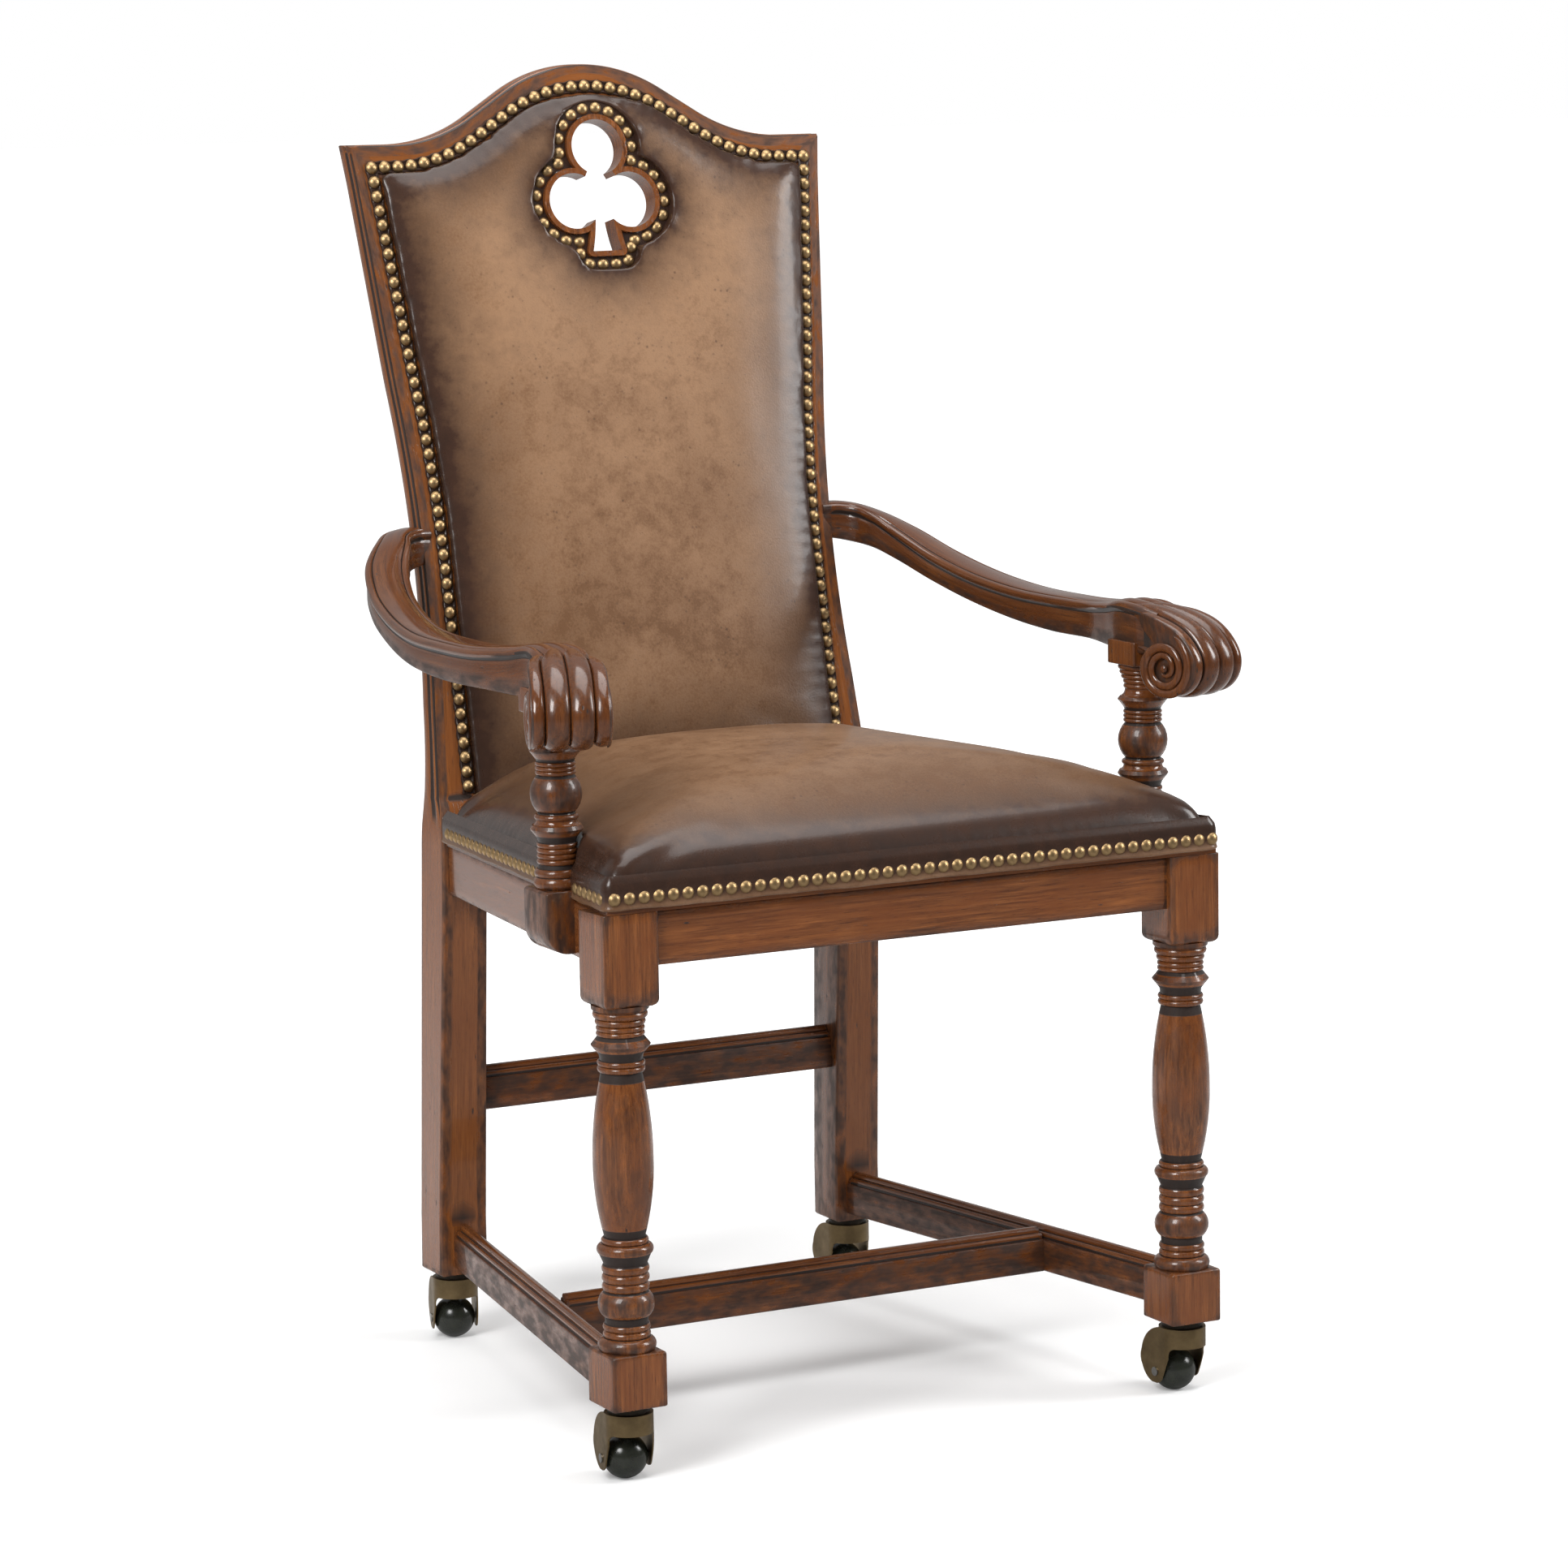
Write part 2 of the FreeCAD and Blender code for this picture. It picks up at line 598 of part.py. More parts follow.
# Rear legs: bandsawn to a side profile that leans forward to a knee at the seat and back along the raked
# stile, and to a front profile that narrows to a waist and flares to a horned corner with a mitre.
stile_deep = size.stile_thickness / cos(rake)
lean = size.rear_leg_lean / (size.knee_top - foot_top)
knee_back_y = foot_back_y - size.rear_leg_lean
turn_z = size.knee_top + (knee_back_y - back_y - stile_deep) / (tan(rake) + lean)
turn_y = back_front_y(turn_z) + stile_deep
soften = 0.75 * (turn_z - size.knee_top)
top_z = size.corner_z + size.stile_width
sweep_z = size.knee_top + size.knee_sweep
side_profile = outline(
    (foot_front_y, size.leg_underside), (foot_back_y, size.leg_underside), (foot_back_y, foot_top),
    (turn_y + soften * lean, turn_z - soften),
    (turn_y + soften * (tan(rake) + lean) / 4, turn_z, turn_y + soften * tan(rake), turn_z + soften),
    (back_front_y(top_z) + stile_deep, top_z), (back_front_y(top_z), top_z), (back_front_y(sweep_z), sweep_z),
    (knee_y + 0.55 * size.back_setback, size.knee_top + 0.23 * size.knee_sweep,
     knee_y, size.knee_top - size.knee_drop),
    (knee_y, size.knee_bottom), (foot_front_y, foot_top))
inner = size.stile_width
mitre_x = rear_leg_inner_x(size.mitre_z)
horn_bend = (0.64 * size.horn_x + 0.36 * size.corner_x, 0.41 * size.horn_z + 0.59 * size.corner_z)
front_profile = outline(
    (size.rear_leg_outer_x - size.rear_leg_width, size.leg_underside),
    (size.rear_leg_outer_x, size.leg_underside),
    (size.leg_bend_x, size.leg_bend_z), (size.stile_low_x, size.stile_low_z),
    (size.waist_x, size.waist_z, size.stile_high_x, size.stile_high_z), (size.horn_x, size.horn_z),
    horn_bend + (size.corner_x, size.corner_z), (mitre_x, size.mitre_z),
    (size.stile_high_x - inner, size.stile_high_z),
    (size.waist_x - inner, size.waist_z, size.stile_low_x - inner, size.stile_low_z),
    (size.leg_bend_x - size.leg_bend_width, size.leg_bend_z))
side_blank = extrusion("rear_leg_side", side_profile, FreeCAD.Placement(V(0, 0, 0), SIDE_VIEW),
                       "2 * Sizes.corner_x")
behind = FreeCAD.Placement(V(0, 2 * foot_back_y, 0), FRONT_VIEW)
front_blank = extrusion("rear_leg_front", front_profile, behind, "4 * Sizes.side_rail_run")
rear_whole = doc.addObject("Part::Common", "rear_leg_whole")
rear_whole.Base = side_blank
rear_whole.Tool = front_blank
rear_x_text = "Sizes.rear_leg_outer_x - Sizes.rear_leg_width / 2"
rear_y_text = ("Sizes.front_leg_y + Sizes.leg_block / 2 + Sizes.side_rail_run + Sizes.knee_projection"
               " + Sizes.rear_leg_depth / 2")
rear_bore = caster_bore("rear_caster_bore", rear_x_text, rear_y_text)
rear_leg = cut("rear_leg", rear_whole, [
    side_rail_mortises, side_stretcher_mortises, rear_mortises, back_mortises, rear_bore])
keep(rear_leg, "rear_leg_right")
keep(mirror("rear_leg_mirror", rear_leg), "rear_leg_left")

# Club opening, drawn flat in the plane of the back: three round lobes, a web between them and a flared stem.
club_top, club_side = up_back(size.club_top_z), up_back(size.club_side_z)
club_foot = up_back(size.club_foot_z)


def disc(x, y, radius):
    return Part.Face(Part.Wire([Part.makeCircle(radius, V(x, y, 0))]))


club_web = face(outline((-size.club_side_x, club_side), (size.club_side_x, club_side), (0, club_top)))
stem_bend = (0.72 * size.club_stem_half + 0.28 * size.club_foot_half, 0.55 * club_foot + 0.45 * club_side)
club_stem = face(outline(
    (-size.club_foot_half, club_foot), (size.club_foot_half, club_foot),
    stem_bend + (size.club_stem_half, club_side), (-size.club_stem_half, club_side),
    (-stem_bend[0], stem_bend[1], -size.club_foot_half, club_foot)))
club_flat = disc(0, club_top, size.club_radius).fuse([
    disc(-size.club_side_x, club_side, size.club_radius), disc(size.club_side_x, club_side, size.club_radius),
    club_web, club_stem]).removeSplitter().Faces[0]


def club_solid(grow, low, high):
    """Club outline grown all round, drawn out between two distances in front of the back's plane."""
    flat = club_flat.makeOffset2D(grow) if grow else club_flat.copy()
    flat.translate(V(0, 0, low))
    return flat.extrude(V(0, 0, high - low))


# The liner is a short ring seated in the back board; behind the board the opening widens all round.
far_back = -(size.stile_thickness + size.back_cover_thickness + 2)
liner = club_solid(size.liner_wall, -size.liner_seat, size.liner_projection).cut(
    club_solid(0, -size.liner_seat - 1, size.liner_projection + 1))
keep(feature("club_liner", liner, back_place), "club_liner")
club_gap = feature("club_gap", club_solid(
    size.liner_wall + size.pad_clearance, far_back,
    size.pad_thickness + size.liner_projection).fuse(club_solid(
        size.liner_wall + size.club_flare, far_back, -size.back_board_thickness)), back_place)

# Crest rail: flat shoulders, a hollow and a crown, mitred to the stiles and cut to their raked planes.
slope = radians(size.crest_slope)
crown_x = size.crest_crown_radius * sin(slope)
crown_z = size.corner_z + size.crest_rise - size.crest_crown_radius * (1 - cos(slope))
hollow_z = size.corner_z + size.crest_hollow_radius * (1 - cos(slope))
hollow_x = crown_x + (crown_z - hollow_z) / tan(slope)
crest_flat_x = hollow_x + size.crest_hollow_radius * sin(slope)
bow_x = crest_flat_x - size.crest_hollow_radius * sin(slope / 2)
bow_z = size.corner_z + size.crest_hollow_radius * (1 - cos(slope / 2))
crest_profile = outline(
    (size.corner_x, size.corner_z), (crest_flat_x, size.corner_z),
    (bow_x, bow_z, hollow_x, hollow_z), (crown_x, crown_z),
    (0, size.corner_z + size.crest_rise, -crown_x, crown_z), (-hollow_x, hollow_z),
    (-bow_x, bow_z, -crest_flat_x, size.corner_z), (-size.corner_x, size.corner_z),
    (-mitre_x, size.mitre_z), (mitre_x, size.mitre_z))
crest_blank = extrusion("crest_front", crest_profile, behind, "4 * Sizes.side_rail_run")


def slab(name, low_text, thick_text):
    """Raked slab behind the back's front plane: a depth and a thickness, both bound to the sheet."""
    piece = bind(doc.addObject("Part::Box", name),
                 Length="4 * Sizes.corner_x", Width="2 * Sizes.corner_z", Height=thick_text)
    depth = piece.evalExpression(low_text) + piece.evalExpression(thick_text)
    piece.Placement = back_place.multiply(FreeCAD.Placement(
        V(-2 * size.corner_x, -size.corner_z, -depth), FreeCAD.Rotation()))
    return piece


def raked(name, curves, low_text, thick_text):
    """Front outline cut out of a raked slab."""
    blank = extrusion(name, curves, behind, "4 * Sizes.side_rail_run")
    piece = doc.addObject("Part::Common", name + "_raked")
    piece.Base = blank
    piece.Tool = slab(name + "_slab", low_text, thick_text)
    return piece


crest_slab = slab("crest_slab", "0 * Sizes.stile_thickness", "Sizes.stile_thickness")
crest_whole = doc.addObject("Part::Common", "crest_whole")
crest_whole.Base = crest_blank
crest_whole.Tool = crest_slab
keep(cut("crest_rail", crest_whole, [club_gap]), "crest_rail")


# Lower back rail between the stiles, flush with their raked back planes, with tenons.
back_rail_top = size.back_rail_bottom + size.back_rail_height


def panel_outline(low_z, high_z, gap):
    """Panel between the stiles, their inner edges set in by a gap."""
    bend_z = (low_z + size.stile_high_z) / 2
    low, bend = rear_leg_inner_x(low_z) - gap, rear_leg_inner_x(bend_z) - gap
    high, top = rear_leg_inner_x(size.stile_high_z) - gap, rear_leg_inner_x(high_z) - gap
    return outline(
        (-low, low_z), (low, low_z), (bend, bend_z, high, size.stile_high_z), (top, high_z), (-top, high_z),
        (-high, size.stile_high_z), (-bend, bend_z, -low, low_z))


rail_low_x, rail_knee_x = rear_leg_inner_x(size.back_rail_bottom), rear_leg_inner_x(size.stile_low_z)
rail_top_x = rear_leg_inner_x(back_rail_top) - size.panel_clearance
back_rail = raked(
    "lower_back_rail",
    outline((-rail_low_x, size.back_rail_bottom), (rail_low_x, size.back_rail_bottom),
            (rail_knee_x, size.stile_low_z), (rail_top_x, back_rail_top), (-rail_top_x, back_rail_top),
            (-rail_knee_x, size.stile_low_z)),
    "Sizes.stile_thickness - Sizes.back_rail_thickness", "Sizes.back_rail_thickness")
keep(back_rail, "lower_back_rail")

# Back board behind the pad: between the stiles, from the lower rail up to the crest rail.
board = raked("back_board", panel_outline(back_rail_top, size.mitre_z, size.panel_clearance),
              "0 * Sizes.stile_thickness", "Sizes.back_board_thickness")
keep(cut("back_board", board, [club_gap]), "back_board")

# Leather cover over the outside back, on the lower back rail and the crest rail.
cover = raked(
    "back_cover",
    panel_outline(
        back_rail_top - size.back_cover_lap, size.mitre_z + size.back_cover_lap, size.panel_clearance),
    "Sizes.stile_thickness", "Sizes.back_cover_thickness")
keep(cut("back_cover", cover, [club_gap]), "back_cover")

# Border of the back pad: straight below, flaring above, with the crest's curve along its top.
border_low, border_high = up_back(size.border_low_z), up_back(size.border_high_z)
border_top, border_bottom = up_back(size.border_corner_z), up_back(size.border_bottom_z)
rise = 1 / cos(rake)
border_rate = (size.border_corner_x - size.border_high_x) / (border_top - border_high)


def border_edges(inset, foot=0.0):
    """Edge of the pad set in by a distance: right side, top and left side, from the bottom up and over."""
    x_low, x_high = size.border_low_x - inset, size.border_high_x - inset
    top = border_top - inset
    x_top = size.border_corner_x - inset - border_rate * inset
    bend_x = x_low + 0.27 * (x_high - x_low)
    bend_z = border_low + 0.54 * (border_high - border_low)
    shrink = x_top / size.border_corner_x
    flat_x, bend_in, low_x, high_x = (x * shrink for x in (crest_flat_x, bow_x, hollow_x, crown_x))
    bend_up, low_up, high_up = (top + (z - size.corner_z) * rise for z in (bow_z, hollow_z, crown_z))
    low = border_bottom + foot
    return outline(
        (x_low, low), (x_low, border_low), (bend_x, bend_z, x_high, border_high), (x_top, top), (flat_x, top),
        (bend_in, bend_up, low_x, low_up), (high_x, high_up),
        (0, top + size.crest_rise * rise, -high_x, high_up), (-low_x, low_up),
        (-bend_in, bend_up, -flat_x, top),
        (-x_top, top), (-x_high, border_high), (-bend_x, bend_z, -x_low, border_low), (-x_low, low))


strip_half = size.border_strip_width / 2
strip_ring = face(border_edges(-strip_half)).cut(face(border_edges(strip_half, size.border_strip_width / 2)))
strip = strip_ring.extrude(V(0, 0, size.border_strip_thickness)).cut(
    Part.makeBox(4 * size.corner_x, size.border_strip_width, 4 * size.border_strip_thickness,
                 V(-2 * size.corner_x, border_bottom - strip_half, -size.border_strip_thickness)))
keep(feature("back_border_strip", strip, back_place), "back_border_strip")

# Back pad: drawn in along its border, full over the middle, with the club opening and a seat for its ring.
pad_edge = strip_half + size.pad_clearance
pad_sections = []
for deep, inset in ((0.0, 0.0), (0.3, 0.4), (0.66, 9.0), (0.9, 36.0), (1.0, 74.0)):
    section = wire(border_edges(pad_edge + inset, pad_edge + 0.35 * inset))
    section.translate(V(0, 0, deep * size.pad_thickness))
    pad_sections.append(section)
pad = Part.makeLoft(pad_sections, True, False)
ring_out = size.liner_wall + size.pad_clearance + size.club_ring_width
pad = pad.cut([
    club_solid(size.liner_wall + size.pad_clearance, -1, size.pad_thickness + 1),
    club_solid(ring_out + size.pad_clearance, size.club_ring_seat, size.pad_thickness + 1)])
keep(feature("back_pad", pad, back_place), "back_pad")
club_ring = club_solid(ring_out, size.club_ring_seat, size.club_ring_seat + size.club_ring_thickness).cut(
    club_solid(size.liner_wall + size.pad_clearance, 0, size.pad_thickness))
keep(feature("club_ring", club_ring, back_place), "club_ring")


def along(curves, pitch):
    """Points at an even pitch along joined curves, close to the pitch asked for."""
    line = Part.Wire([curve.toShape() for curve in curves])
    return line.discretize(Number=int(ceil(line.Length / pitch)) + 1)


nail_path = border_edges(0, size.border_strip_width)[:-1]
outward = V(0, 0, 1)
strip_top = size.border_strip_thickness
border_nails = [(V(p.x, p.y, strip_top), outward) for p in along(nail_path, size.nail_pitch)]
keep(feature("back_nails", nail_heads(border_nails), back_place), "back_nails")
ring_path = club_flat.makeOffset2D(size.liner_wall + size.pad_clearance + size.club_ring_width / 2).OuterWire
ring_count = int(ring_path.Length // size.nail_pitch)
ring_top = size.club_ring_seat + size.club_ring_thickness
ring_nails = [(V(p.x, p.y, ring_top), outward) for p in ring_path.discretize(Number=ring_count + 1)[:-1]]
keep(feature("club_nails", nail_heads(ring_nails), back_place), "club_nails")

# Seat deck on the rails, in the seat's own sloping plane: wide in front, with a tongue between the rear legs.
deck_run = (knee_y - size.deck_rear_gap - leg_front_y) / cos(tilt)
tongue_half = rear_leg_inner_x(size.knee_top) - 2 * size.panel_clearance
tongue_end = (rear_rail_y + size.rail_thickness - leg_front_y) / cos(tilt)
deck_front_half = leg_outer_x - size.deck_side_inset
deck_rear_half = size.side_rail_rear_x + size.deck_rear_overhang
side_rate = (deck_front_half - deck_rear_half) / deck_run


def deck_side(y, grow=0.0):
    return deck_front_half - side_rate * y + grow


deck_outline = outline(
    (-deck_front_half, 0), (deck_front_half, 0), (deck_rear_half, deck_run), (tongue_half, deck_run),
    (tongue_half, tongue_end), (-tongue_half, tongue_end), (-tongue_half, deck_run),
    (-deck_rear_half, deck_run))
deck_blank = extrusion("seat_deck", deck_outline, seat_place, "Sizes.deck_thickness")

# Clearance round the arm posts, for the pieces of the seat.
post_gap_low = post_y - size.post_block_half - size.post_clearance
post_gap_high = post_y + size.post_block_half + size.post_clearance
post_notch_half = feature("post_notch_half", block(
    (rail_x(post_gap_high) - 8 * size.post_clearance, post_gap_low, size.rail_top - size.rail_height),
    (leg_outer_x + size.leg_block, post_gap_high, size.post_block_top + size.post_clearance)))
post_sink = bind(
    doc.addObject("Part::Cylinder", "post_sink"), Radius="Sizes.post_spool + 4 * Sizes.post_clearance",
    Height="Sizes.rail_top", Placement__Base__x="Sizes.post_x",
    Placement__Base__y="Sizes.front_leg_y + Sizes.post_setback",
    Placement__Base__z="Sizes.rail_top - Sizes.rail_height")
post_notch_right = fuse("post_notch_right", [post_notch_half, post_sink])
post_notches = fuse("post_notches", [post_notch_right, mirror("post_notch_left", post_notch_right)])

# Corner blocks inside the seat frame, one in each corner, screwed up into the deck.
front_rail_back = leg_front_y + size.front_rail_inset + size.rail_thickness
reach = size.corner_block_reach
front_corner = outline(
    (leg_inner_x - reach, front_rail_back), (leg_inner_x, front_rail_back), (leg_inner_x, leg_rear_y),
    (rail_x(leg_rear_y, size.rail_thickness), leg_rear_y),
    (rail_x(leg_rear_y + reach, size.rail_thickness), leg_rear_y + reach))
rear_line = knee_y - size.panel_clearance
rear_corner = outline(
    (tongue_half - reach, rear_rail_y), (tongue_half, rear_rail_y), (tongue_half, rear_line),
    (rail_x(rear_line, size.rail_thickness), rear_line),
    (rail_x(rear_line - reach, size.rail_thickness), rear_line - reach))
corner_tops = [seat_z(y) - size.corner_block_drop for y in (leg_rear_y + reach, rear_rail_y)]
screw_spots = [V(leg_inner_x - 0.12 * reach, leg_rear_y + 0.22 * reach, corner_tops[0]),
               V(tongue_half - 0.06 * reach, rear_line - 0.2 * reach, corner_tops[1])]


def screw(base, out, length, grow=0.0):
    """Screw with its flat head on a base point: head outward, shank inward."""
    head = Part.makeCylinder(size.screw_head_radius + grow, size.screw_head_height, base, out)
    shank = Part.makeCylinder(size.screw_radius + grow, length + grow, base, out * -1)
    return shank if grow else head.fuse(shank).removeSplitter()


def both_sides(shapes):
    return Part.makeCompound(shapes + [shape.mirror(V(0, 0, 0), V(1, 0, 0)) for shape in shapes])


down = V(0, 0, -1)
blocks, deck_screws, deck_holes = [], [], []
for curves, top, spot in zip((front_corner, rear_corner), corner_tops, screw_spots):
    flat = face(curves)
    flat.translate(V(0, 0, top - size.corner_block_height))
    head_at = V(spot.x, spot.y, top - size.corner_block_height)
    length = seat_z(spot.y) + size.screw_bite - head_at.z
    hole = screw(head_at, down, length, size.screw_clearance)
    blocks.append(flat.extrude(V(0, 0, size.corner_block_height)).cut(hole))
    deck_screws.append(screw(head_at, down, length))
    deck_holes.append(hole)
keep(feature("corner_blocks", both_sides(blocks)), "corner_blocks")
keep(feature("deck_screws", both_sides(deck_screws)), "deck_screws")
keep(cut("seat_deck", deck_blank, [feature("deck_holes", both_sides(deck_holes)), post_notches]), "seat_deck")

# Band round the deck's front and sides, notched at the arm posts.
grow = size.band_thickness
band_end = deck_run - size.panel_clearance
band_outer = face(outline(
    (-deck_side(0, grow), -grow), (deck_side(0, grow), -grow), (deck_side(band_end, grow), band_end),
    (-deck_side(band_end, grow), band_end)))
band_inner = face(outline(
    (-deck_side(0), 0), (deck_side(0), 0), (deck_side(band_end + 1), band_end + 1),
    (-deck_side(band_end + 1), band_end + 1)))
band_flat = band_outer.cut(band_inner)
band_blank = feature("seat_band_blank", band_flat.extrude(V(0, 0, size.band_height)), seat_place)
keep(cut("seat_band", band_blank, [post_notches]), "seat_band")

# Nail heads along the band: the whole front, and each side but for the gap at the post.
front_half = deck_side(0, grow) - size.nail_radius - size.band_thickness
front_count = int(round(2 * front_half / size.nail_pitch))
up_band = size.band_nail_height
band_nails = [(V(-front_half + 2 * front_half * k / front_count, -grow, up_band), V(0, -1, 0))
              for k in range(front_count + 1)]
side_out = V(1, side_rate, 0).normalize()
side_count = int((band_end - 2 * size.nail_pitch) // size.nail_pitch)
for k in range(side_count + 1):
    y = 0.75 * size.nail_pitch + k * size.nail_pitch
    near = abs(y + leg_front_y - post_y)
    if near > size.post_block_half + size.nail_radius + 2 * size.post_clearance:
        base = V(deck_side(y, grow), y, up_band)
        band_nails.append((base, side_out))
        band_nails.append((V(-base.x, base.y, base.z), V(-side_out.x, side_out.y, 0)))
keep(feature("seat_nails", nail_heads(band_nails), seat_place), "seat_nails")

# Seat cushion: sections in the deck's plane that swell over the band, then draw in to a high crown.
cushion_end = (knee_y - size.cushion_rear_gap - leg_front_y) / cos(tilt)


def cushion_section(side, rear, radius, height):
    low, high = side, cushion_end - rear
    x_low, x_high = deck_side(low) - side, deck_side(high) - side
    soft = 0.29 * radius
    slope = side_rate * radius
    curves = outline(
        (-x_low + radius, low), (x_low - radius, low),
        (x_low - soft, low + soft, x_low - slope, low + radius),
        (x_high + slope, high - radius), (x_high - soft, high - soft, x_high - radius, high),
        (-x_high + radius, high), (-x_high + soft, high - soft, -x_high - slope, high - radius),
        (-x_low + slope, low + radius), (-x_low + soft, low + soft, -x_low + radius, low))
    section = wire(curves)
    section.translate(V(0, 0, size.deck_thickness + height))
    return section


swell = size.cushion_crown
tuck = size.cushion_clearance
cushion = Part.makeLoft([
    cushion_section(tuck, tuck, 10, 0), cushion_section(tuck, tuck, 11, 0.1 * swell),
    cushion_section(3, 2, 16, 0.28 * swell), cushion_section(22, 9, 28, 0.52 * swell),
    cushion_section(60, 26, 38, 0.76 * swell), cushion_section(108, 58, 46, 0.925 * swell),
    cushion_section(160, 112, 46, swell)], True, False)
keep(cut("seat_cushion", feature("cushion_blank", cushion, seat_place), [post_notches]), "seat_cushion")

# Arms: a flat-sided bar with a crowned top, swept outward from the stile, forward, in over the post and out
# again to a scrolled knuckle of four lobes.
front_z = size.arm_top + size.arm_front_rise
arm_under = front_z - size.arm_front_height
arm_run = foot_back_y - post_y
arm_out = size.arm_side_x - size.waist_x
post_in = size.arm_side_x - size.post_x
front_deep = size.arm_front_height / size.arm_height
front_lift = size.arm_front_rise / size.arm_joint_rise
front_fall = size.arm_front_rise / size.arm_height
# Each station from the stile to the knuckle: how far out of the waist, as a share of the arm's whole sweep,
# how far forward, as a share of its run, its rise over the middle, its heading, width and depth.
arm_stations = [
    (-0.068, -0.0214, 0.993, 76, 0.75, 0.904), (0.097, -0.0124, 1, 72, 0.775, 0.973),
    (0.26, 0.0067, 0.971, 62, 0.825, 1), (0.413, 0.0517, 0.882, 47, 0.9, 0.945),
    (0.605, 0.1102, 0.676, 29, 0.975, 0.849), (0.78, 0.207, 0.39, 16, 1, 0.767),
    (0.91, 0.3375, 0.162, 6, 1, 0.767), (1, 0.4837, 0.03, 3, 1, 0.836), (1.0226, 0.6524, 0, 0, 1, 0.93),
    (1, 0.8155, 0.01, -3, 1, 0.945),
    (1 - 0.49 * post_in / arm_out, 0.9055, 0.045, -12, 1.025, 0.97),
    (1 - 0.93 * post_in / arm_out, 0.9865, 0.79 * front_lift, -4, 1.1, front_deep - 0.21 * front_fall),
    (1 - 0.83 * post_in / arm_out, 1.045, 0.45 * front_lift, 14, 1.33, front_deep - 0.55 * front_fall)]
arm_crown = 0.075 * size.arm_width
arm_sections = []
for out, forward, lift, heading, wide, deep in arm_stations:
    x, y = size.waist_x + out * arm_out, foot_back_y - forward * arm_run
    top = size.arm_top + lift * size.arm_joint_rise
    half = wide * size.arm_width / 2
    deep = deep * size.arm_height
    section = wire(outline((-half, -deep), (half, -deep), (half, -arm_crown), (0, 0, -half, -arm_crown)))
    section.Placement = FreeCAD.Placement(
        V(x, y, top), FreeCAD.Rotation(V(0, 0, 1), heading).multiply(FRONT_VIEW))
    arm_sections.append(section)
arm_bar = Part.makeLoft(arm_sections, True, False)
eye_x = size.post_x + (post_y - knuckle_y) * tan(radians(size.knuckle_turn)) * 0.7
rise_front = front_z - size.knuckle_z


def knuckle_lobe(low, high, share):
    """One lobe of the scroll, between two distances across it, a share of the full outline."""
    under = arm_under - size.knuckle_z
    front, drop = share * size.knuckle_reach, share * size.knuckle_drop
    top, root = share * rise_front, -1.05 * size.knuckle_reach
    curves = outline(
        (root, 0.92 * top), (-0.47 * front, 0.89 * top, 0, 0.80 * top),
        (0.59 * front, 0.58 * top, 0.92 * front, 0.31 * top), (front, 0.1 * top, 0.93 * front, -0.29 * drop),
        (0.66 * front, -0.79 * drop, 0.24 * front, -drop), (-0.6 * drop, -0.79 * drop, -1.04 * drop, -0.25 * drop),
        (-1.12 * drop, 0.17 * drop, -1.08 * drop, under), (root, under))
    flat = face(curves)
    flat.Placement = FreeCAD.Placement(V(0, 0, 0), SIDE_VIEW)
    lobe = flat.extrude(V(high - low, 0, 0))
    lobe.translate(V(low, 0, 0))
    return lobe


half = size.knuckle_width / 2
knuckle = knuckle_lobe(-half, -0.65 * half, 0.94).fuse([
    knuckle_lobe(-0.65 * half, -0.02 * half, 1.0), knuckle_lobe(-0.02 * half, 0.59 * half, 1.0),
    knuckle_lobe(0.59 * half, half, 0.9)]).removeSplitter()
knuckle.rotate(V(0, 0, 0), V(0, 0, 1), 180 + size.knuckle_turn)
knuckle.translate(V(eye_x, knuckle_y, size.knuckle_z))
arm_blank = feature("arm_blank", arm_bar.fuse(knuckle).removeSplitter())
right_arm = cut("arm", arm_blank, [rear_leg])
keep(right_arm, "right_arm")
keep(mirror("arm_mirror", right_arm), "left_arm")

# Arm posts: turned, with a square cap under the arm and a bracket block against the side rail.
post_high = arm_under - size.post_cap_height
post_low = size.post_block_top
thin, spool = size.post_neck, size.post_spool


def post_at(*shares):
    """Step of the post's half profile: radii as they are, heights as shares of the turned length."""
    turned = post_high - post_low
    return tuple(post_low + number * turned if k % 2 else number for k, number in enumerate(shares))


post_steps = [
    post_at(thin - 1, 0), post_at(thin, 0.054, thin - 1.6, 0.108),
    post_at(thin - 0.4, 0.129, thin - 1.2, 0.149),
    post_at(thin + 0.3, 0.173, thin - 0.6, 0.197), post_at(thin + 0.8, 0.224, thin, 0.251),
    post_at(thin + 0.8, 0.285), post_at(spool - 0.5, 0.349), post_at(spool, 0.356), post_at(thin + 1, 0.397),
    post_at(thin + 1.6, 0.414, thin - 1.4, 0.434), post_at(size.post_ball, 0.549, thin - 1.4, 0.664),
    post_at(thin + 0.6, 0.685, thin - 0.5, 0.705), post_at(thin + 0.6, 0.729, thin, 0.753),
    post_at(spool - 0.5, 0.797), post_at(spool, 0.803), post_at(thin + 1.4, 0.854),
    post_at(thin + 1.9, 0.875, thin, 0.895), post_at(thin + 1.6, 0.922, thin + 1.6, 0.942),
    post_at(thin + 1.6, 1)]
post_turning = turning(
    "post_turning", post_steps, FreeCAD.Placement(V(size.post_x, post_y, 0), FreeCAD.Rotation()))
post_cap = bind(
    doc.addObject("Part::Box", "post_cap"), Length="2 * Sizes.post_cap_half", Width="2 * Sizes.post_cap_half",
    Height="Sizes.post_cap_height + Sizes.arm_height / 4",
    Placement__Base__x="Sizes.post_x - Sizes.post_cap_half",
    Placement__Base__y="Sizes.front_leg_y + Sizes.post_setback - Sizes.post_cap_half",
    Placement__Base__z="Sizes.arm_top + Sizes.arm_front_rise - Sizes.arm_front_height"
    " - Sizes.post_cap_height")
outer_x = size.post_x + size.post_block_outer
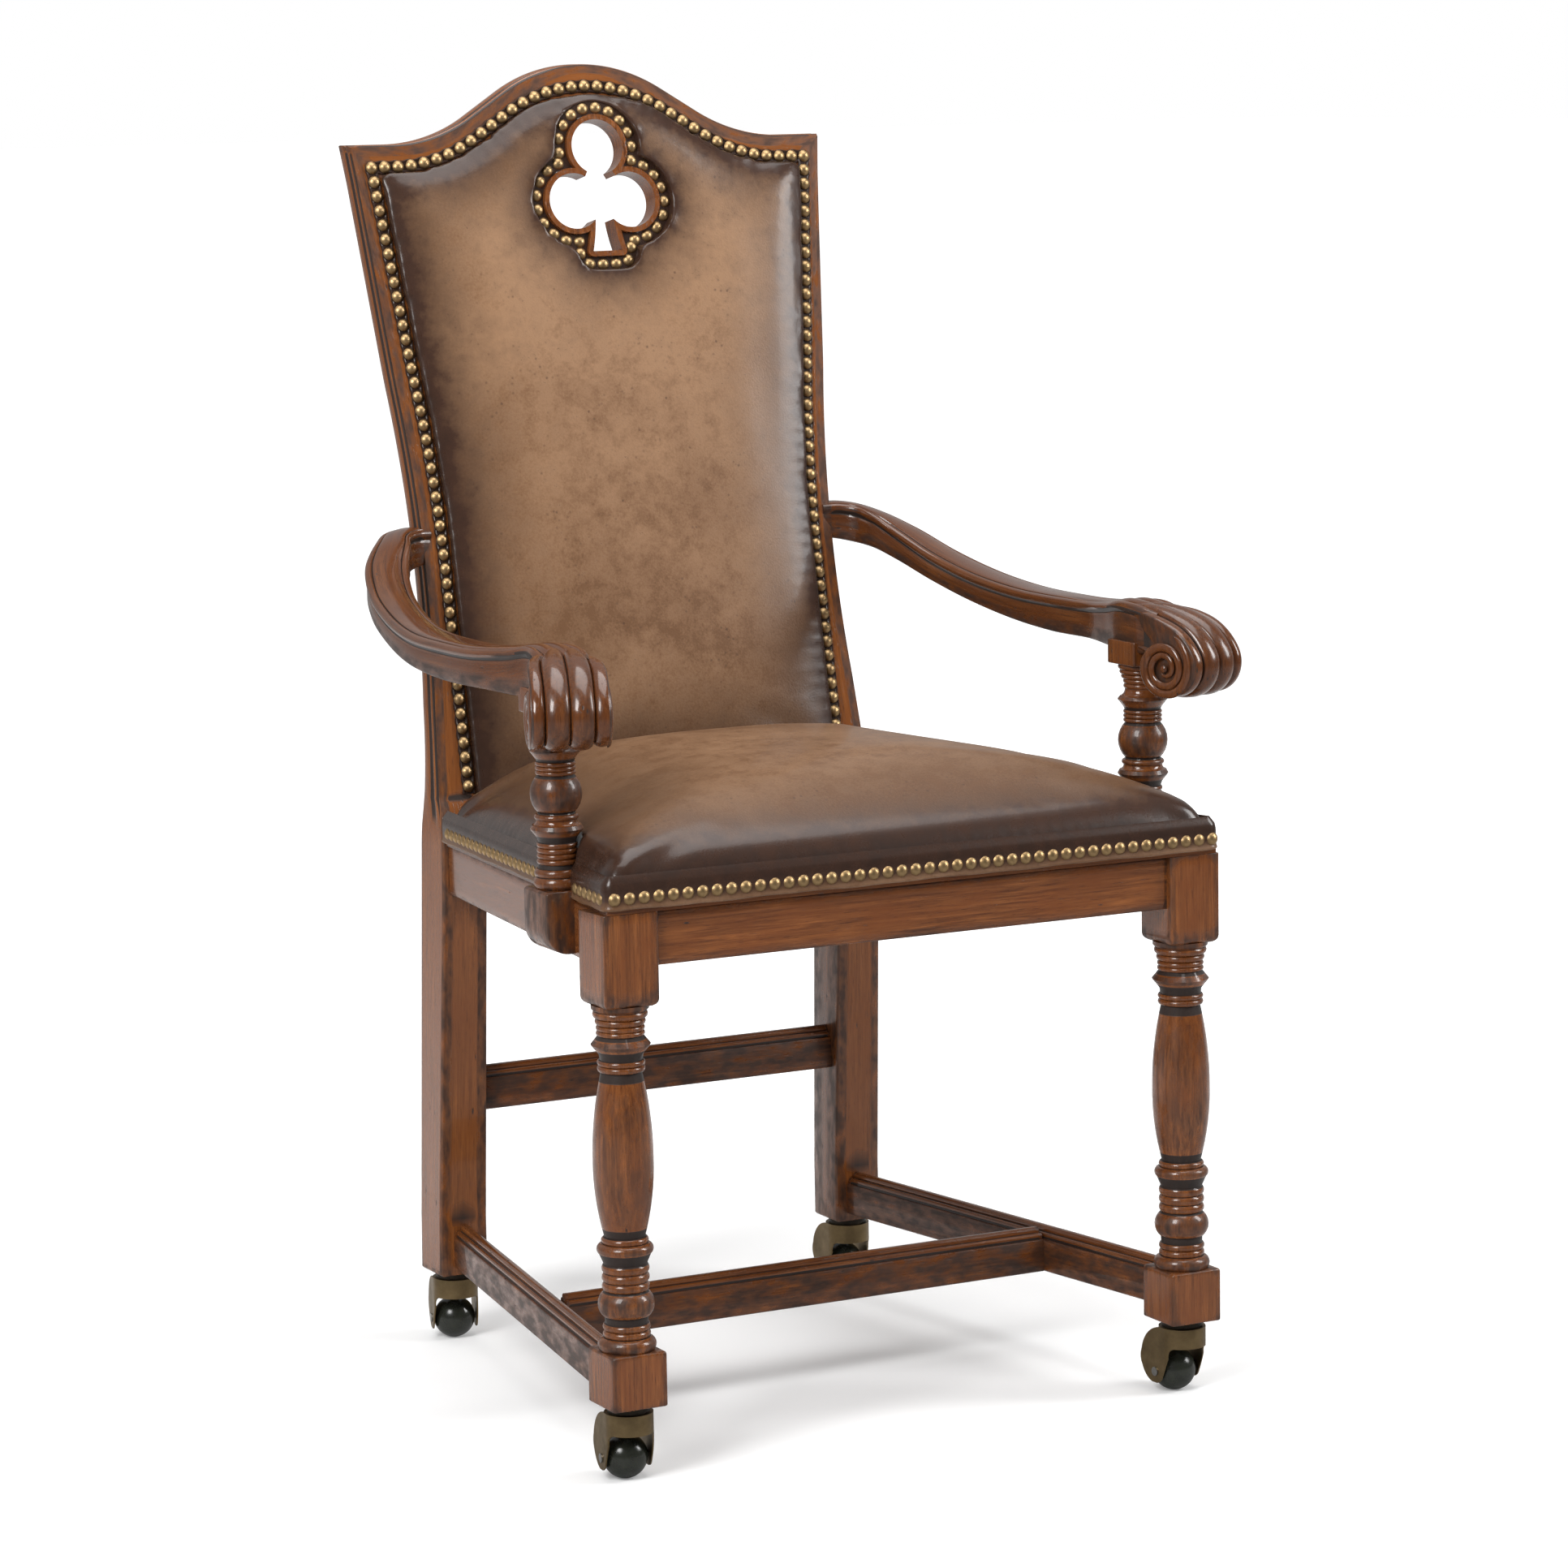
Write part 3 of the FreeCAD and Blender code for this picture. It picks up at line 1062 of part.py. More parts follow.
bracket_low = size.rail_top - size.rail_height
bend = size.post_block_curve
bracket = extrusion(
    "post_bracket",
    outline((size.post_x - size.leg_block, bracket_low), (outer_x - bend, bracket_low),
            (outer_x - 0.3 * bend, bracket_low + 0.3 * bend, outer_x, bracket_low + bend),
            (outer_x, post_low),
            (size.post_x - size.leg_block, post_low)),
    FreeCAD.Placement(V(0, post_y + size.post_block_half, 0), FRONT_VIEW), "2 * Sizes.post_block_half")
rail_plane = feature("post_rail_plane", prism(
    outline((rail_x(leg_rear_y) - 4 * size.leg_block, bracket_low - size.leg_block),
            (rail_x(leg_rear_y), bracket_low - size.leg_block), (rail_x(leg_rear_y), post_low + 0.001),
            (rail_x(leg_rear_y) - 4 * size.leg_block, post_low + 0.001)),
    V(0, leg_rear_y, 0), V(rail_vector.x, rail_vector.y, 0)))
rail_normal = V(size.side_rail_run, -rail_vector.x, 0).normalize()
post_screws, post_holes = [], []
for lift in (-1, 1):
    level = rail_low_front + size.rail_height / 2 + lift * size.post_screw_spread / 2
    spot = V(rail_x(post_y, size.rail_thickness), post_y, level)
    shank = size.rail_thickness + size.screw_bite
    post_screws.append(screw(spot, rail_normal * -1, shank))
    post_holes.append(screw(spot, rail_normal * -1, shank, size.screw_clearance))
keep(feature("post_screws", both_sides(post_screws)), "post_screws")
post_drill = feature("post_drill", Part.makeCompound(post_holes))
bracket_fitted = cut("post_bracket_fitted", bracket, [rail_plane])
post_whole = fuse("arm_post_whole", [post_turning, post_cap, bracket_fitted])
right_post = cut("arm_post", post_whole, [right_arm, post_drill])
keep(right_post, "right_arm_post")
keep(mirror("arm_post_mirror", right_post), "left_arm_post")
right_rail = cut("side_rail", side_rail_blank, [post_drill])
keep(right_rail, "right_seat_rail")
keep(mirror("side_rail_mirror", right_rail), "left_seat_rail")

# Caster sockets: a dark flange under each leg with a sleeve up into it.
rear_leg_x = size.rear_leg_outer_x - size.rear_leg_width / 2
rear_leg_y = foot_front_y + size.rear_leg_depth / 2
casters = (
    ("front_left", -size.front_leg_x, size.front_leg_y, size.front_left_turn),
    ("front_right", size.front_leg_x, size.front_leg_y, size.front_right_turn),
    ("rear_left", -rear_leg_x, rear_leg_y, size.rear_left_turn),
    ("rear_right", rear_leg_x, rear_leg_y, size.rear_right_turn))
flange_low = size.leg_underside - size.socket_flange_height
socket_tall = size.socket_flange_height + size.socket_depth
stem_bore = size.stem_radius + size.running_clearance
sockets = []
for side, x, y, angle in casters:
    flange = Part.makeCylinder(size.socket_flange_radius, size.socket_flange_height, V(x, y, flange_low))
    sleeve = Part.makeCylinder(size.socket_radius, socket_tall, V(x, y, flange_low))
    bore = Part.makeCylinder(stem_bore, socket_tall + 2, V(x, y, flange_low - 1))
    sockets.append(flange.fuse(sleeve).cut(bore))
keep(feature("caster_sockets", Part.makeCompound(sockets)), "caster_sockets")

# Each caster swivels as one: a hood of bent sheet over the ball with two ears, a stem riveted through its top
# and an axle riveted through its ears. The ball turns on the axle.
hood_top = flange_low - size.free_clearance
band_low = hood_top - size.hood_band
radius, wall, tip = size.hood_radius, size.hood_wall, size.ear_tip
trail, ear = size.ball_trail, size.ear_reach
plan_outer = face(outline((-radius, 0), (0, -radius, radius, 0), (radius, ear + 1), (-radius, ear + 1)))
plan_inner = face(outline((wall - radius, 0), (0, wall - radius, radius - wall, 0), (radius - wall, ear + 2),
                          (wall - radius, ear + 2)))
shell = plan_outer.cut(plan_inner)
shell.translate(V(0, 0, tip))
shell = shell.extrude(V(0, 0, hood_top - tip))
ear_mid = (band_low + tip) / 2
side_keep = face(outline(
    (-radius - 1, hood_top), (-radius - 1, band_low), (-0.53 * radius, band_low),
    (-0.31 * radius, band_low - 3, -0.24 * radius, band_low - 9.5),
    (-0.1 * radius, ear_mid, trail - 9, tip + 5), (trail - 5.5, tip + 1.2, trail, tip), (trail + 5, tip),
    (trail + 13, tip + 4.5, ear - 2, tip + 13), (ear + 0.4, tip + 20, ear - 1, tip + 27),
    (0.62 * ear, hood_top - 6, 0.15 * radius, hood_top)))
side_keep.Placement = FreeCAD.Placement(V(-radius - 1, 0, 0), SIDE_VIEW)
shell = shell.common(side_keep.extrude(V(2 * radius + 2, 0, 0)))
lid = Part.makeCylinder(radius, wall, V(0, 0, hood_top - wall))
stem_hole = Part.makeCylinder(size.stem_radius + size.free_clearance, 3 * wall, V(0, 0, hood_top - 2 * wall))
axle_hole = Part.makeCylinder(size.axle_radius + size.free_clearance, 4 * radius,
                              V(-2 * radius, trail, size.ball_radius), V(1, 0, 0))
hood = shell.fuse(lid).cut([stem_hole, axle_hole]).removeSplitter()
axle_shape = Part.makeCylinder(size.axle_radius, 2 * radius, V(-radius, trail, size.ball_radius), V(1, 0, 0))
for side in (-1, 1):
    head_base = V(side * radius, trail, size.ball_radius)
    axle_shape = axle_shape.fuse(Part.makeCylinder(
        size.axle_head_radius, size.axle_head_height, head_base, V(side, 0, 0)))
for side, x, y, angle in casters:
    place = FreeCAD.Placement(V(x, y, 0), FreeCAD.Rotation(V(0, 0, 1), angle))
    keep(feature(side + "_hood", hood, place), "%s_caster_hood" % side)
    keep(feature(side + "_axle", axle_shape.removeSplitter(), place), "%s_caster_axle" % side)
    shank = bind(doc.addObject("Part::Cylinder", side + "_stem_shank"), Radius="Sizes.stem_radius")
    bind(shank, Height="Sizes.stem_grip + Sizes.socket_flange_height + Sizes.free_clearance"
         " + Sizes.hood_wall")
    shank.Placement.Base = V(0, 0, hood_top - wall)
    head = bind(doc.addObject("Part::Cylinder", side + "_stem_head"),
                Radius="Sizes.stem_head_radius", Height="Sizes.stem_head_height")
    head.Placement.Base = V(0, 0, hood_top - wall - size.stem_head_height)
    stem = fuse(side + "_stem", [shank, head])
    stem.Placement = place
    keep(stem, "%s_caster_stem" % side)
    ball_round = bind(doc.addObject("Part::Sphere", side + "_ball_round"), Radius="Sizes.ball_radius")
    ball_round.Placement = FreeCAD.Placement(V(0, trail, size.ball_radius), FreeCAD.Rotation(V(0, 1, 0), 90))
    ball_bore = bind(doc.addObject("Part::Cylinder", side + "_ball_bore"),
                     Radius="Sizes.axle_radius + Sizes.running_clearance", Height="4 * Sizes.ball_radius")
    ball_bore.Placement = FreeCAD.Placement(
        V(-2 * size.ball_radius, trail, size.ball_radius), FreeCAD.Rotation(V(0, 1, 0), 90))
    ball = cut(side + "_ball", ball_round, [ball_bore])
    ball.Placement = place
    keep(ball, "%s_caster_ball" % side)

doc.recompute()
for item in doc.Objects:
    if "Invalid" in item.State or "Error" in item.State:
        raise RuntimeError("%s is %s" % (item.Label, item.State))
os.makedirs("parts", exist_ok=True)
for piece in pieces:
    shape = piece.Shape
    if shape.isNull() or not shape.isValid():
        raise RuntimeError("%s has no valid shape" % piece.Label)
    shape.exportStep("parts/%s.step" % piece.Label)
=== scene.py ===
import bpy
import numpy as np
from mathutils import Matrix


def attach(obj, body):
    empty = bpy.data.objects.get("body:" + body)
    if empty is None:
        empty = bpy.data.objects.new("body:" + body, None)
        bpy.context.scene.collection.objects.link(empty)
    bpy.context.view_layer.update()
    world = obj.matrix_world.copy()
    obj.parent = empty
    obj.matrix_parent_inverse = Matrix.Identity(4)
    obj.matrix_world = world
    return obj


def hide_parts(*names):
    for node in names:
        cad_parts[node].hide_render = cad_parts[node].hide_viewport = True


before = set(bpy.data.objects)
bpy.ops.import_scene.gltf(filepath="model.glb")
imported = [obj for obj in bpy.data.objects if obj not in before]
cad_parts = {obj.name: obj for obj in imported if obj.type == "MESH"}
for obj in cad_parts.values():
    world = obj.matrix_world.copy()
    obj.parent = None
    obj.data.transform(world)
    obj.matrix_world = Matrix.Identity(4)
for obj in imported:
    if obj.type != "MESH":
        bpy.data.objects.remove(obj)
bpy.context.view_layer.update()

# Front legs. Each is one length of walnut, turned on a lathe between two square blocks: rings, a bulb, a
# long vase and a sharp spool. The blocks stay square for the rails and stretchers, which are tenoned into
# them.
MM = 0.001
FULL_TURN = 2 * np.pi
FRAME_BODY = "chair_frame"
SIDES = ((-1, "left"), (1, "right"))
HOLLOW_UNIT = 0.5 * MM


def arc(start, through, end, count):
    """Points on the circle through three points of a plane: its centre is as far from all three, and the
    angle runs evenly from the first to the last by way of the middle one."""
    a, b, c = (np.array(p, float) for p in (start, through, end))
    chords = 2 * np.array([b - a, c - a])
    if abs(np.linalg.det(chords)) < 1e-6:
        return a + np.linspace(0, 1, count)[:, None] * (c - a)
    centre = np.linalg.solve(chords, [b @ b - a @ a, c @ c - a @ a])
    first, middle, last = (np.arctan2(p[1] - centre[1], p[0] - centre[0]) for p in (a, b, c))
    turn = (last - first) % FULL_TURN
    if (middle - first) % FULL_TURN > turn:
        turn -= FULL_TURN
    angle = first + turn * np.linspace(0, 1, count)
    return centre + np.linalg.norm(a - centre) * np.stack([np.cos(angle), np.sin(angle)], 1)


def drawn(steps, count=8):
    """Line drawn step by step: two numbers run straight to a point, four go round through one to
    another."""
    line = [np.array([steps[0]], float)]
    for step in steps[1:]:
        if len(step) == 2:
            line.append(np.array([step], float))
        else:
            line.append(arc(line[-1][-1], step[:2], step[2:], count)[1:])
    return np.concatenate(line)


def rounded_box(half_x, half_y, radius, per_corner=5, per_side=5):
    """Loop round a rectangle: four quarter circles at its corners with even points along the sides
    between."""
    quarter = np.linspace(0, np.pi / 2, per_corner)
    corners = []
    for k, (sx, sy) in enumerate(((1, 1), (-1, 1), (-1, -1), (1, -1))):
        angle = quarter + k * np.pi / 2
        middle = np.array([sx * (half_x - radius), sy * (half_y - radius)])
        corners.append(middle + radius * np.stack([np.cos(angle), np.sin(angle)], 1))
    loop = []
    for k in range(4):
        here, following = corners[k], corners[(k + 1) % 4]
        share = np.linspace(0, 1, per_side + 2)[1:-1, None]
        loop += [here, here[-1] + share * (following[0] - here[-1])]
    return np.concatenate(loop)


def closed_grid(points, loop=False):
    """Vertices and faces of a closed grid in millimetres: each cell between neighbouring rows and columns
    is a face, the last column joins the first, and the end rows close on their middles, or on each other in
    a loop. Where the volume that the faces enclose comes out negative, all of them are turned round."""
    rows, columns = points.shape[:2]
    index = np.arange(rows * columns).reshape(rows, columns)
    low = index if loop else index[:-1]
    high = np.roll(index, -1, 0) if loop else index[1:]
    faces = np.stack([low, np.roll(low, -1, 1), np.roll(high, -1, 1), high], -1).reshape(-1, 4)
    vertices = points.reshape(-1, 3)
    caps = np.zeros((0, 3), int)
    if not loop:
        ends = points[[0, -1]].mean(1)
        vertices = np.concatenate([vertices, ends])
        base = rows * columns
        after = np.roll(index, -1, 1)
        caps = np.concatenate([
            np.stack([np.full(columns, base), after[0], index[0]], 1),
            np.stack([np.full(columns, base + 1), index[-1], after[-1]], 1)])
    triangles = np.concatenate([faces[:, [0, 1, 2]], faces[:, [0, 2, 3]], caps])
    a, b, c = (vertices[triangles[:, k]] - vertices.mean(0) for k in range(3))
    if np.einsum("ij,ij->", a, np.cross(b, c)) < 0:
        faces, caps = faces[:, ::-1], caps[:, ::-1]
    return vertices, faces, caps


def bare_mesh(mesh):
    """Places and normals of a mesh, and the two ends of each edge both ways round."""
    count = len(mesh.vertices)
    place, normal = np.zeros(count * 3), np.zeros(count * 3)
    ends = np.zeros(len(mesh.edges) * 2, int)
    mesh.vertices.foreach_get("co", place)
    mesh.vertex_normals.foreach_get("vector", normal)
    mesh.edges.foreach_get("vertices", ends)
    ends = ends.reshape(-1, 2)
    return place.reshape(-1, 3), normal.reshape(-1, 3), np.concatenate([ends, ends[:, ::-1]])


def relaxed(place, ends, weight, rounds):
    """Each place moved to the mean of its neighbours by a weight, some rounds over."""
    count = len(place)
    share = np.maximum(np.bincount(ends[:, 0], minlength=count), 1)
    for _ in range(rounds):
        mean = np.stack([np.bincount(ends[:, 0], place[ends[:, 1], k], count) / share for k in range(3)], 1)
        place = place + weight * (mean - place)
    return place


def hollowness(mesh):
    """How far each vertex lies under the mean of its neighbours, measured along its normal, in half
    millimetres: positive in a groove and negative on a ridge."""
    place, normal, ends = bare_mesh(mesh)
    return np.einsum("ij,ij->i", relaxed(place, ends, 1.0, 3) - place, normal) / HOLLOW_UNIT


def mark(mesh, name, values):
    """Keeps one number for each vertex with the mesh."""
    mesh.attributes.new(name, "FLOAT", "POINT").data.foreach_set("value", values.astype(np.float32))


def in_scene(name, data):
    """A new object of the data, linked to the scene."""
    made = bpy.data.objects.new(name, data)
    bpy.context.scene.collection.objects.link(made)
    return made


def add_piece(name, grids, material, replaced=None, sharp=38):
    """One object of several closed grids. Each grid is its points, its grain coordinates, whether it is a
    loop and, where it needs one, a painted shade for its grooves; the grain and the hollows, with that
    painted shade added to them, go with the mesh."""
    vertices, faces, grain, shades, base = [], [], [], [], 0
    for points, figure, loop, *shade in grids:
        spots, quads, caps = closed_grid(points, loop)
        vertices.append(spots * MM)
        faces += (quads + base).tolist() + (caps + base).tolist()
        lines = figure.reshape(-1, 3)
        if not loop:
            lines = np.concatenate([lines, figure[[0, -1]].mean(1)])
        grain.append(lines * MM)
        shades.append(np.zeros(len(spots)))
        if shade:
            shades[-1][:shade[0].size] = shade[0].ravel()
        base += len(spots)
    mesh = bpy.data.meshes.new(name)
    mesh.from_pydata(np.concatenate(vertices).tolist(), [], faces)
    mesh.shade_smooth()
    mesh.set_sharp_from_angle(angle=np.radians(sharp))
    mesh.attributes.new("grain", "FLOAT_VECTOR", "POINT").data.foreach_set(
        "vector", np.concatenate(grain).astype(np.float32).ravel())
    # Painted shade: each grid's shade for its grooves is added to the hollowness, to darken them in colour.
    mark(mesh, "hollow_and_shade", hollowness(mesh) + np.concatenate(shades))
    mesh.materials.append(material)
    piece = in_scene(name, mesh)
    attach(piece, FRAME_BODY)
    if replaced:
        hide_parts(replaced)
    return piece


def node(tree, kind, inputs=(), **settings):
    """Adds a shader node: its settings, then its inputs by name or number, each a value or an output."""
    made = tree.nodes.new(kind)
    for key, value in settings.items():
        setattr(made, key, value)
    for key, value in dict(inputs).items():
        if isinstance(value, bpy.types.NodeSocket):
            tree.links.new(value, made.inputs[key])
        else:
            made.inputs[key].default_value = value
    return made


def new_group(name, **inputs):
    """A shader node group with named inputs, which puts out a colour, a roughness and a height; its inside
    ends come back with it."""
    tree = bpy.data.node_groups.new(name, "ShaderNodeTree")
    for label, kind in inputs.items():
        tree.interface.new_socket(label, in_out="INPUT", socket_type="NodeSocket" + kind)
    for label, kind in (("Color", "Color"), ("Roughness", "Float"), ("Height", "Float")):
        tree.interface.new_socket(label, in_out="OUTPUT", socket_type="NodeSocket" + kind)
    return tree, tree.nodes.new("NodeGroupInput").outputs, tree.nodes.new("NodeGroupOutput").inputs


def put_out(tree, result, *values):
    """Joins the colour, roughness and height to the group's outputs."""
    for label, value in zip(("Color", "Roughness", "Height"), values):
        tree.links.new(value, result[label])
    return tree


def stretched(tree, vector, scale):
    """Vector multiplied by three scales per metre, or by one for all."""
    scales = scale if isinstance(scale, tuple) else (scale,) * 3
    return node(tree, "ShaderNodeVectorMath", {0: vector, 1: scales}, operation="MULTIPLY").outputs[0]


def noise(tree, vector, scale, detail=3.0, rough=0.55, warp=0.0):
    """Cloudy noise over a stretched vector."""
    return node(tree, "ShaderNodeTexNoise", {
        "Vector": stretched(tree, vector, scale), "Scale": 1.0, "Detail": detail, "Roughness": rough,
        "Distortion": warp}).outputs[0]


def cell_spots(tree, vector, scale, feature="F1"):
    """Distance from the nearest of scattered points over a stretched vector."""
    return node(tree, "ShaderNodeTexVoronoi", {
        "Vector": stretched(tree, vector, scale), "Scale": 1.0}, feature=feature).outputs[0]


def span(tree, value, low, high, to_low=0.0, to_high=1.0):
    """Value carried from one range to another and held at its ends."""
    return node(tree, "ShaderNodeMapRange", {
        0: value, 1: low, 2: high, 3: to_low, 4: to_high}, clamp=True).outputs[0]


def maths(tree, operation, first, second, clamp=False):
    """Two values put together by one operation, and held between 0 and 1 if asked."""
    made = node(tree, "ShaderNodeMath", {0: first, 1: second}, operation=operation, use_clamp=clamp)
    return made.outputs[0]


def times(tree, first, second):
    """Product of two values."""
    return maths(tree, "MULTIPLY", first, second)


def plus(tree, first, second, clamp=False):
    """Sum of two values."""
    return maths(tree, "ADD", first, second, clamp)


def larger(tree, first, second):
    """The larger of two values."""
    return maths(tree, "MAXIMUM", first, second)


def blend(tree, factor, first, second, kind="MIX"):
    """Two colours mixed by a factor."""
    return node(tree, "ShaderNodeMix", {0: factor, 6: first, 7: second}, data_type="RGBA",
                blend_type=kind).outputs[2]


WALNUT_DARK = (0.040, 0.0115, 0.0036, 1)
WALNUT_MID = (0.135, 0.0390, 0.0092, 1)
WALNUT_LIGHT = (0.262, 0.0880, 0.0220, 1)
GLAZE_AND_SHADE = (0.0075, 0.0034, 0.0020, 1)


def walnut_group():
    """Stained walnut: streaks stretched along the grain, broad clouds of stain, fine pores, scattered dents
    and a dark glaze that stays in hollows and along edges, with painted shade in the grooves that comes in
    through the hollow input and darkens them with the same colour."""
    tree, given, result = new_group("walnut_finish", Grain="Vector", Hollow="Float", Depth="Float")
    grain = given["Grain"]
    streak = noise(tree, grain, (360, 360, 14), 6.0, 0.66, 0.5)
    cloud = noise(tree, grain, (34, 34, 14), 4.0, 0.58, 0.4)
    pores = span(tree, noise(tree, grain, (1500, 1500, 70), 2.0), 0.60, 0.74)
    figure = blend(tree, span(tree, streak, 0.33, 0.67), WALNUT_DARK, WALNUT_LIGHT)
    base = blend(tree, span(tree, cloud, 0.30, 0.72), WALNUT_MID, figure)
    base = blend(tree, larger(tree, given["Depth"], 0.0), base, WALNUT_DARK)
    paler = times(tree, given["Depth"], -1.0)
    base = blend(tree, larger(tree, paler, 0.0), base, WALNUT_LIGHT)
    base = blend(tree, times(tree, pores, 0.55), base, GLAZE_AND_SHADE)
    spot = cell_spots(tree, grain, (105, 105, 34))
    patch = span(tree, noise(tree, grain, (21, 21, 13), 2.0), 0.50, 0.58)
    dents = times(tree, span(tree, spot, 0.125, 0.05), patch)
    worn = span(tree, noise(tree, grain, (120, 120, 50), 3.0), 0.30, 0.62)
    # The hollow input carries the hollowness and the painted shade of the grooves; glaze and painted shade
    # darken together.
    groove = span(tree, given["Hollow"], 0.10, 0.75)
    ridge = times(tree, span(tree, given["Hollow"], -0.40, -1.4), worn)
    glaze_and_shade = larger(tree, times(tree, groove, 0.93), times(tree, ridge, 0.75))
    glaze_and_shade = larger(tree, glaze_and_shade, times(tree, dents, 0.85))
    rough = plus(tree, span(tree, cloud, 0.2, 0.8, 0.13, 0.24), times(tree, glaze_and_shade, 0.55))
    height = maths(tree, "SUBTRACT", times(tree, streak, 0.25), times(tree, pores, 0.3))
    height = maths(tree, "SUBTRACT", height, dents)
    return put_out(tree, result, blend(tree, glaze_and_shade, base, GLAZE_AND_SHADE), rough, height)


WALNUT = walnut_group()
FINE_BUMP = 0.00022
LACQUER = {"Coat_Weight": 0.35, "Coat_Roughness": 0.03, "Specular_IOR_Level": 0.45}


def finished(name, group, ins, bump, **constants):
    """A material with one Principled shader: a group gives its colour, roughness and height, and the rest
    are constants on the shader's own sockets."""
    material = bpy.data.materials.new(name)
    material.use_nodes = True
    tree = material.node_tree
    shader = tree.nodes["Principled BSDF"]
    for key, value in constants.items():
        shader.inputs[key.replace("_", " ")].default_value = value
    made = node(tree, "ShaderNodeGroup", ins(tree), node_tree=group)
    tree.links.new(made.outputs["Color"], shader.inputs["Base Color"])
    tree.links.new(made.outputs["Roughness"], shader.inputs["Roughness"])
    raised = node(tree, "ShaderNodeBump", {
        "Height": made.outputs["Height"], "Strength": 1.0, "Distance": bump})
    tree.links.new(raised.outputs[0], shader.inputs["Normal"])
    return material


def read_attribute(tree, name, output):
    """What the mesh keeps under a name, as a vector or a value."""
    return node(tree, "ShaderNodeAttribute", attribute_name=name).outputs[output]


def walnut(name, depth=0.0):
    """The stained finish on a piece that carries its own grain; a depth below nothing is a paler stain."""
    def inputs(tree):
        return {"Grain": read_attribute(tree, "grain", "Vector"),
                "Hollow": read_attribute(tree, "hollow_and_shade", "Fac"), "Depth": depth}
    return finished(name, WALNUT, inputs, FINE_BUMP, **LACQUER)


def own_place(tree):
    """Place of the shaded point in its own object."""
    return node(tree, "ShaderNodeTexCoord").outputs["Object"]


def walnut_on_cad(name, turn, depth=0.0):
    """The stained finish on a plain solid, its grain turned to lie along it."""
    def inputs(tree):
        turned = node(tree, "ShaderNodeMapping", {"Vector": own_place(tree), "Rotation": turn}).outputs[0]
        return {"Grain": turned, "Hollow": 0.0, "Depth": depth}
    return finished(name, WALNUT, inputs, FINE_BUMP, **LACQUER)


def dress(material, *names):
    """Puts a material on CAD nodes whose shape is right as it is."""
    for name in names:
        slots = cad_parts[name].data.materials
        slots.clear()
        slots.append(material)


def revolved(profile, centre, sides):
    """Half profile of radius and height turned about an upright axis: angle across, profile along."""
    angle = np.linspace(0, FULL_TURN, sides, endpoint=False)
    radius, height = profile[:, :1], profile[:, 1:]
    flat = np.ones_like(angle)
    grid = np.stack([radius * np.cos(angle), radius * np.sin(angle), height * flat], -1)
    return grid + np.array([centre[0], centre[1], 0.0])


EASE_ROWS, BODY_ROWS = 5, 7


def upright_block(centre, half, low, high, ease_low, ease_high, corner):
    """Upright block: a rounded square carried from the bottom to the top, drawn in round a quarter
    circle at both ends."""
    swing = np.linspace(0, np.pi / 2, EASE_ROWS)
    inset = np.concatenate([ease_low * (1 - np.sin(swing)), ease_high * (1 - np.cos(swing))])
    rise = np.concatenate([low + ease_low * (1 - np.cos(swing)), high - ease_high * (1 - np.sin(swing))])
    middle = np.linspace(rise[EASE_ROWS - 1], rise[EASE_ROWS], BODY_ROWS + 2)[1:-1]
    inset = np.concatenate([inset[:EASE_ROWS], np.zeros(BODY_ROWS), inset[EASE_ROWS:]])
    rise = np.concatenate([rise[:EASE_ROWS], middle, rise[EASE_ROWS:]])
    loop = rounded_box(half, half, corner)
    share = 1 - inset[:, None, None] / half
    upward = np.broadcast_to(rise[:, None, None], (len(rise), len(loop), 1))
    grid = np.concatenate([loop * share, upward], -1)
    return grid + np.array([centre[0], centre[1], 0.0])


SEAT_FRONT_Y, SEAT_TOP, SEAT_TURN = -327.2, 485.0, np.radians(1.5)
SEAT_FALL = np.tan(SEAT_TURN)
LEG_X, LEG_Y, LEG_HALF, LEG_CORNER, TURNING_SIDES = 272.0, -302.2, 25.0, 2.2, 56
FOOT_EASE, SHOULDER_EASE, PENDANT_EASE, TOP_EASE = 1.6, 2.4, 6.5, 1.0
LEG_FOOT, LOWER_BLOCK_TOP, UPPER_BLOCK_FOOT = 67.0, 114.0, 405.5
leg_profile = drawn([
    (22.4, 113.5), (24.6, 119.7, 19.0, 125.2), (20.1, 128, 18.0, 131), (20.1, 134, 18.0, 137),
    (18.4, 142), (23.6, 155.5, 18.0, 164.4), (20.0, 168, 18.0, 172), (20.0, 175.8, 18.0, 179.7),
    (20.0, 183.5, 18.2, 187.5), (21.9, 196), (23.8, 199.5, 19.0, 205), (19.9, 207.8, 17.2, 210.5),
    (23.3, 240.9, 25.4, 276.6), (23.2, 314.6, 17.2, 349.7), (20.0, 352.5, 18.0, 355.1),
    (20.0, 357.5, 18.0, 360), (18.5, 364.5), (24.4, 371.9), (25.0, 372.9), (19.2, 380.1),
    (20.4, 382.3, 18.9, 384.5), (20.4, 386.7, 18.5, 389.1), (21.2, 392.1, 19.6, 394.9),
    (23.1, 398.1, 22.0, 400.9), (24.2, 403.1), (24.2, 406.5)], 9)
leg_walnut = walnut("front_leg_walnut")
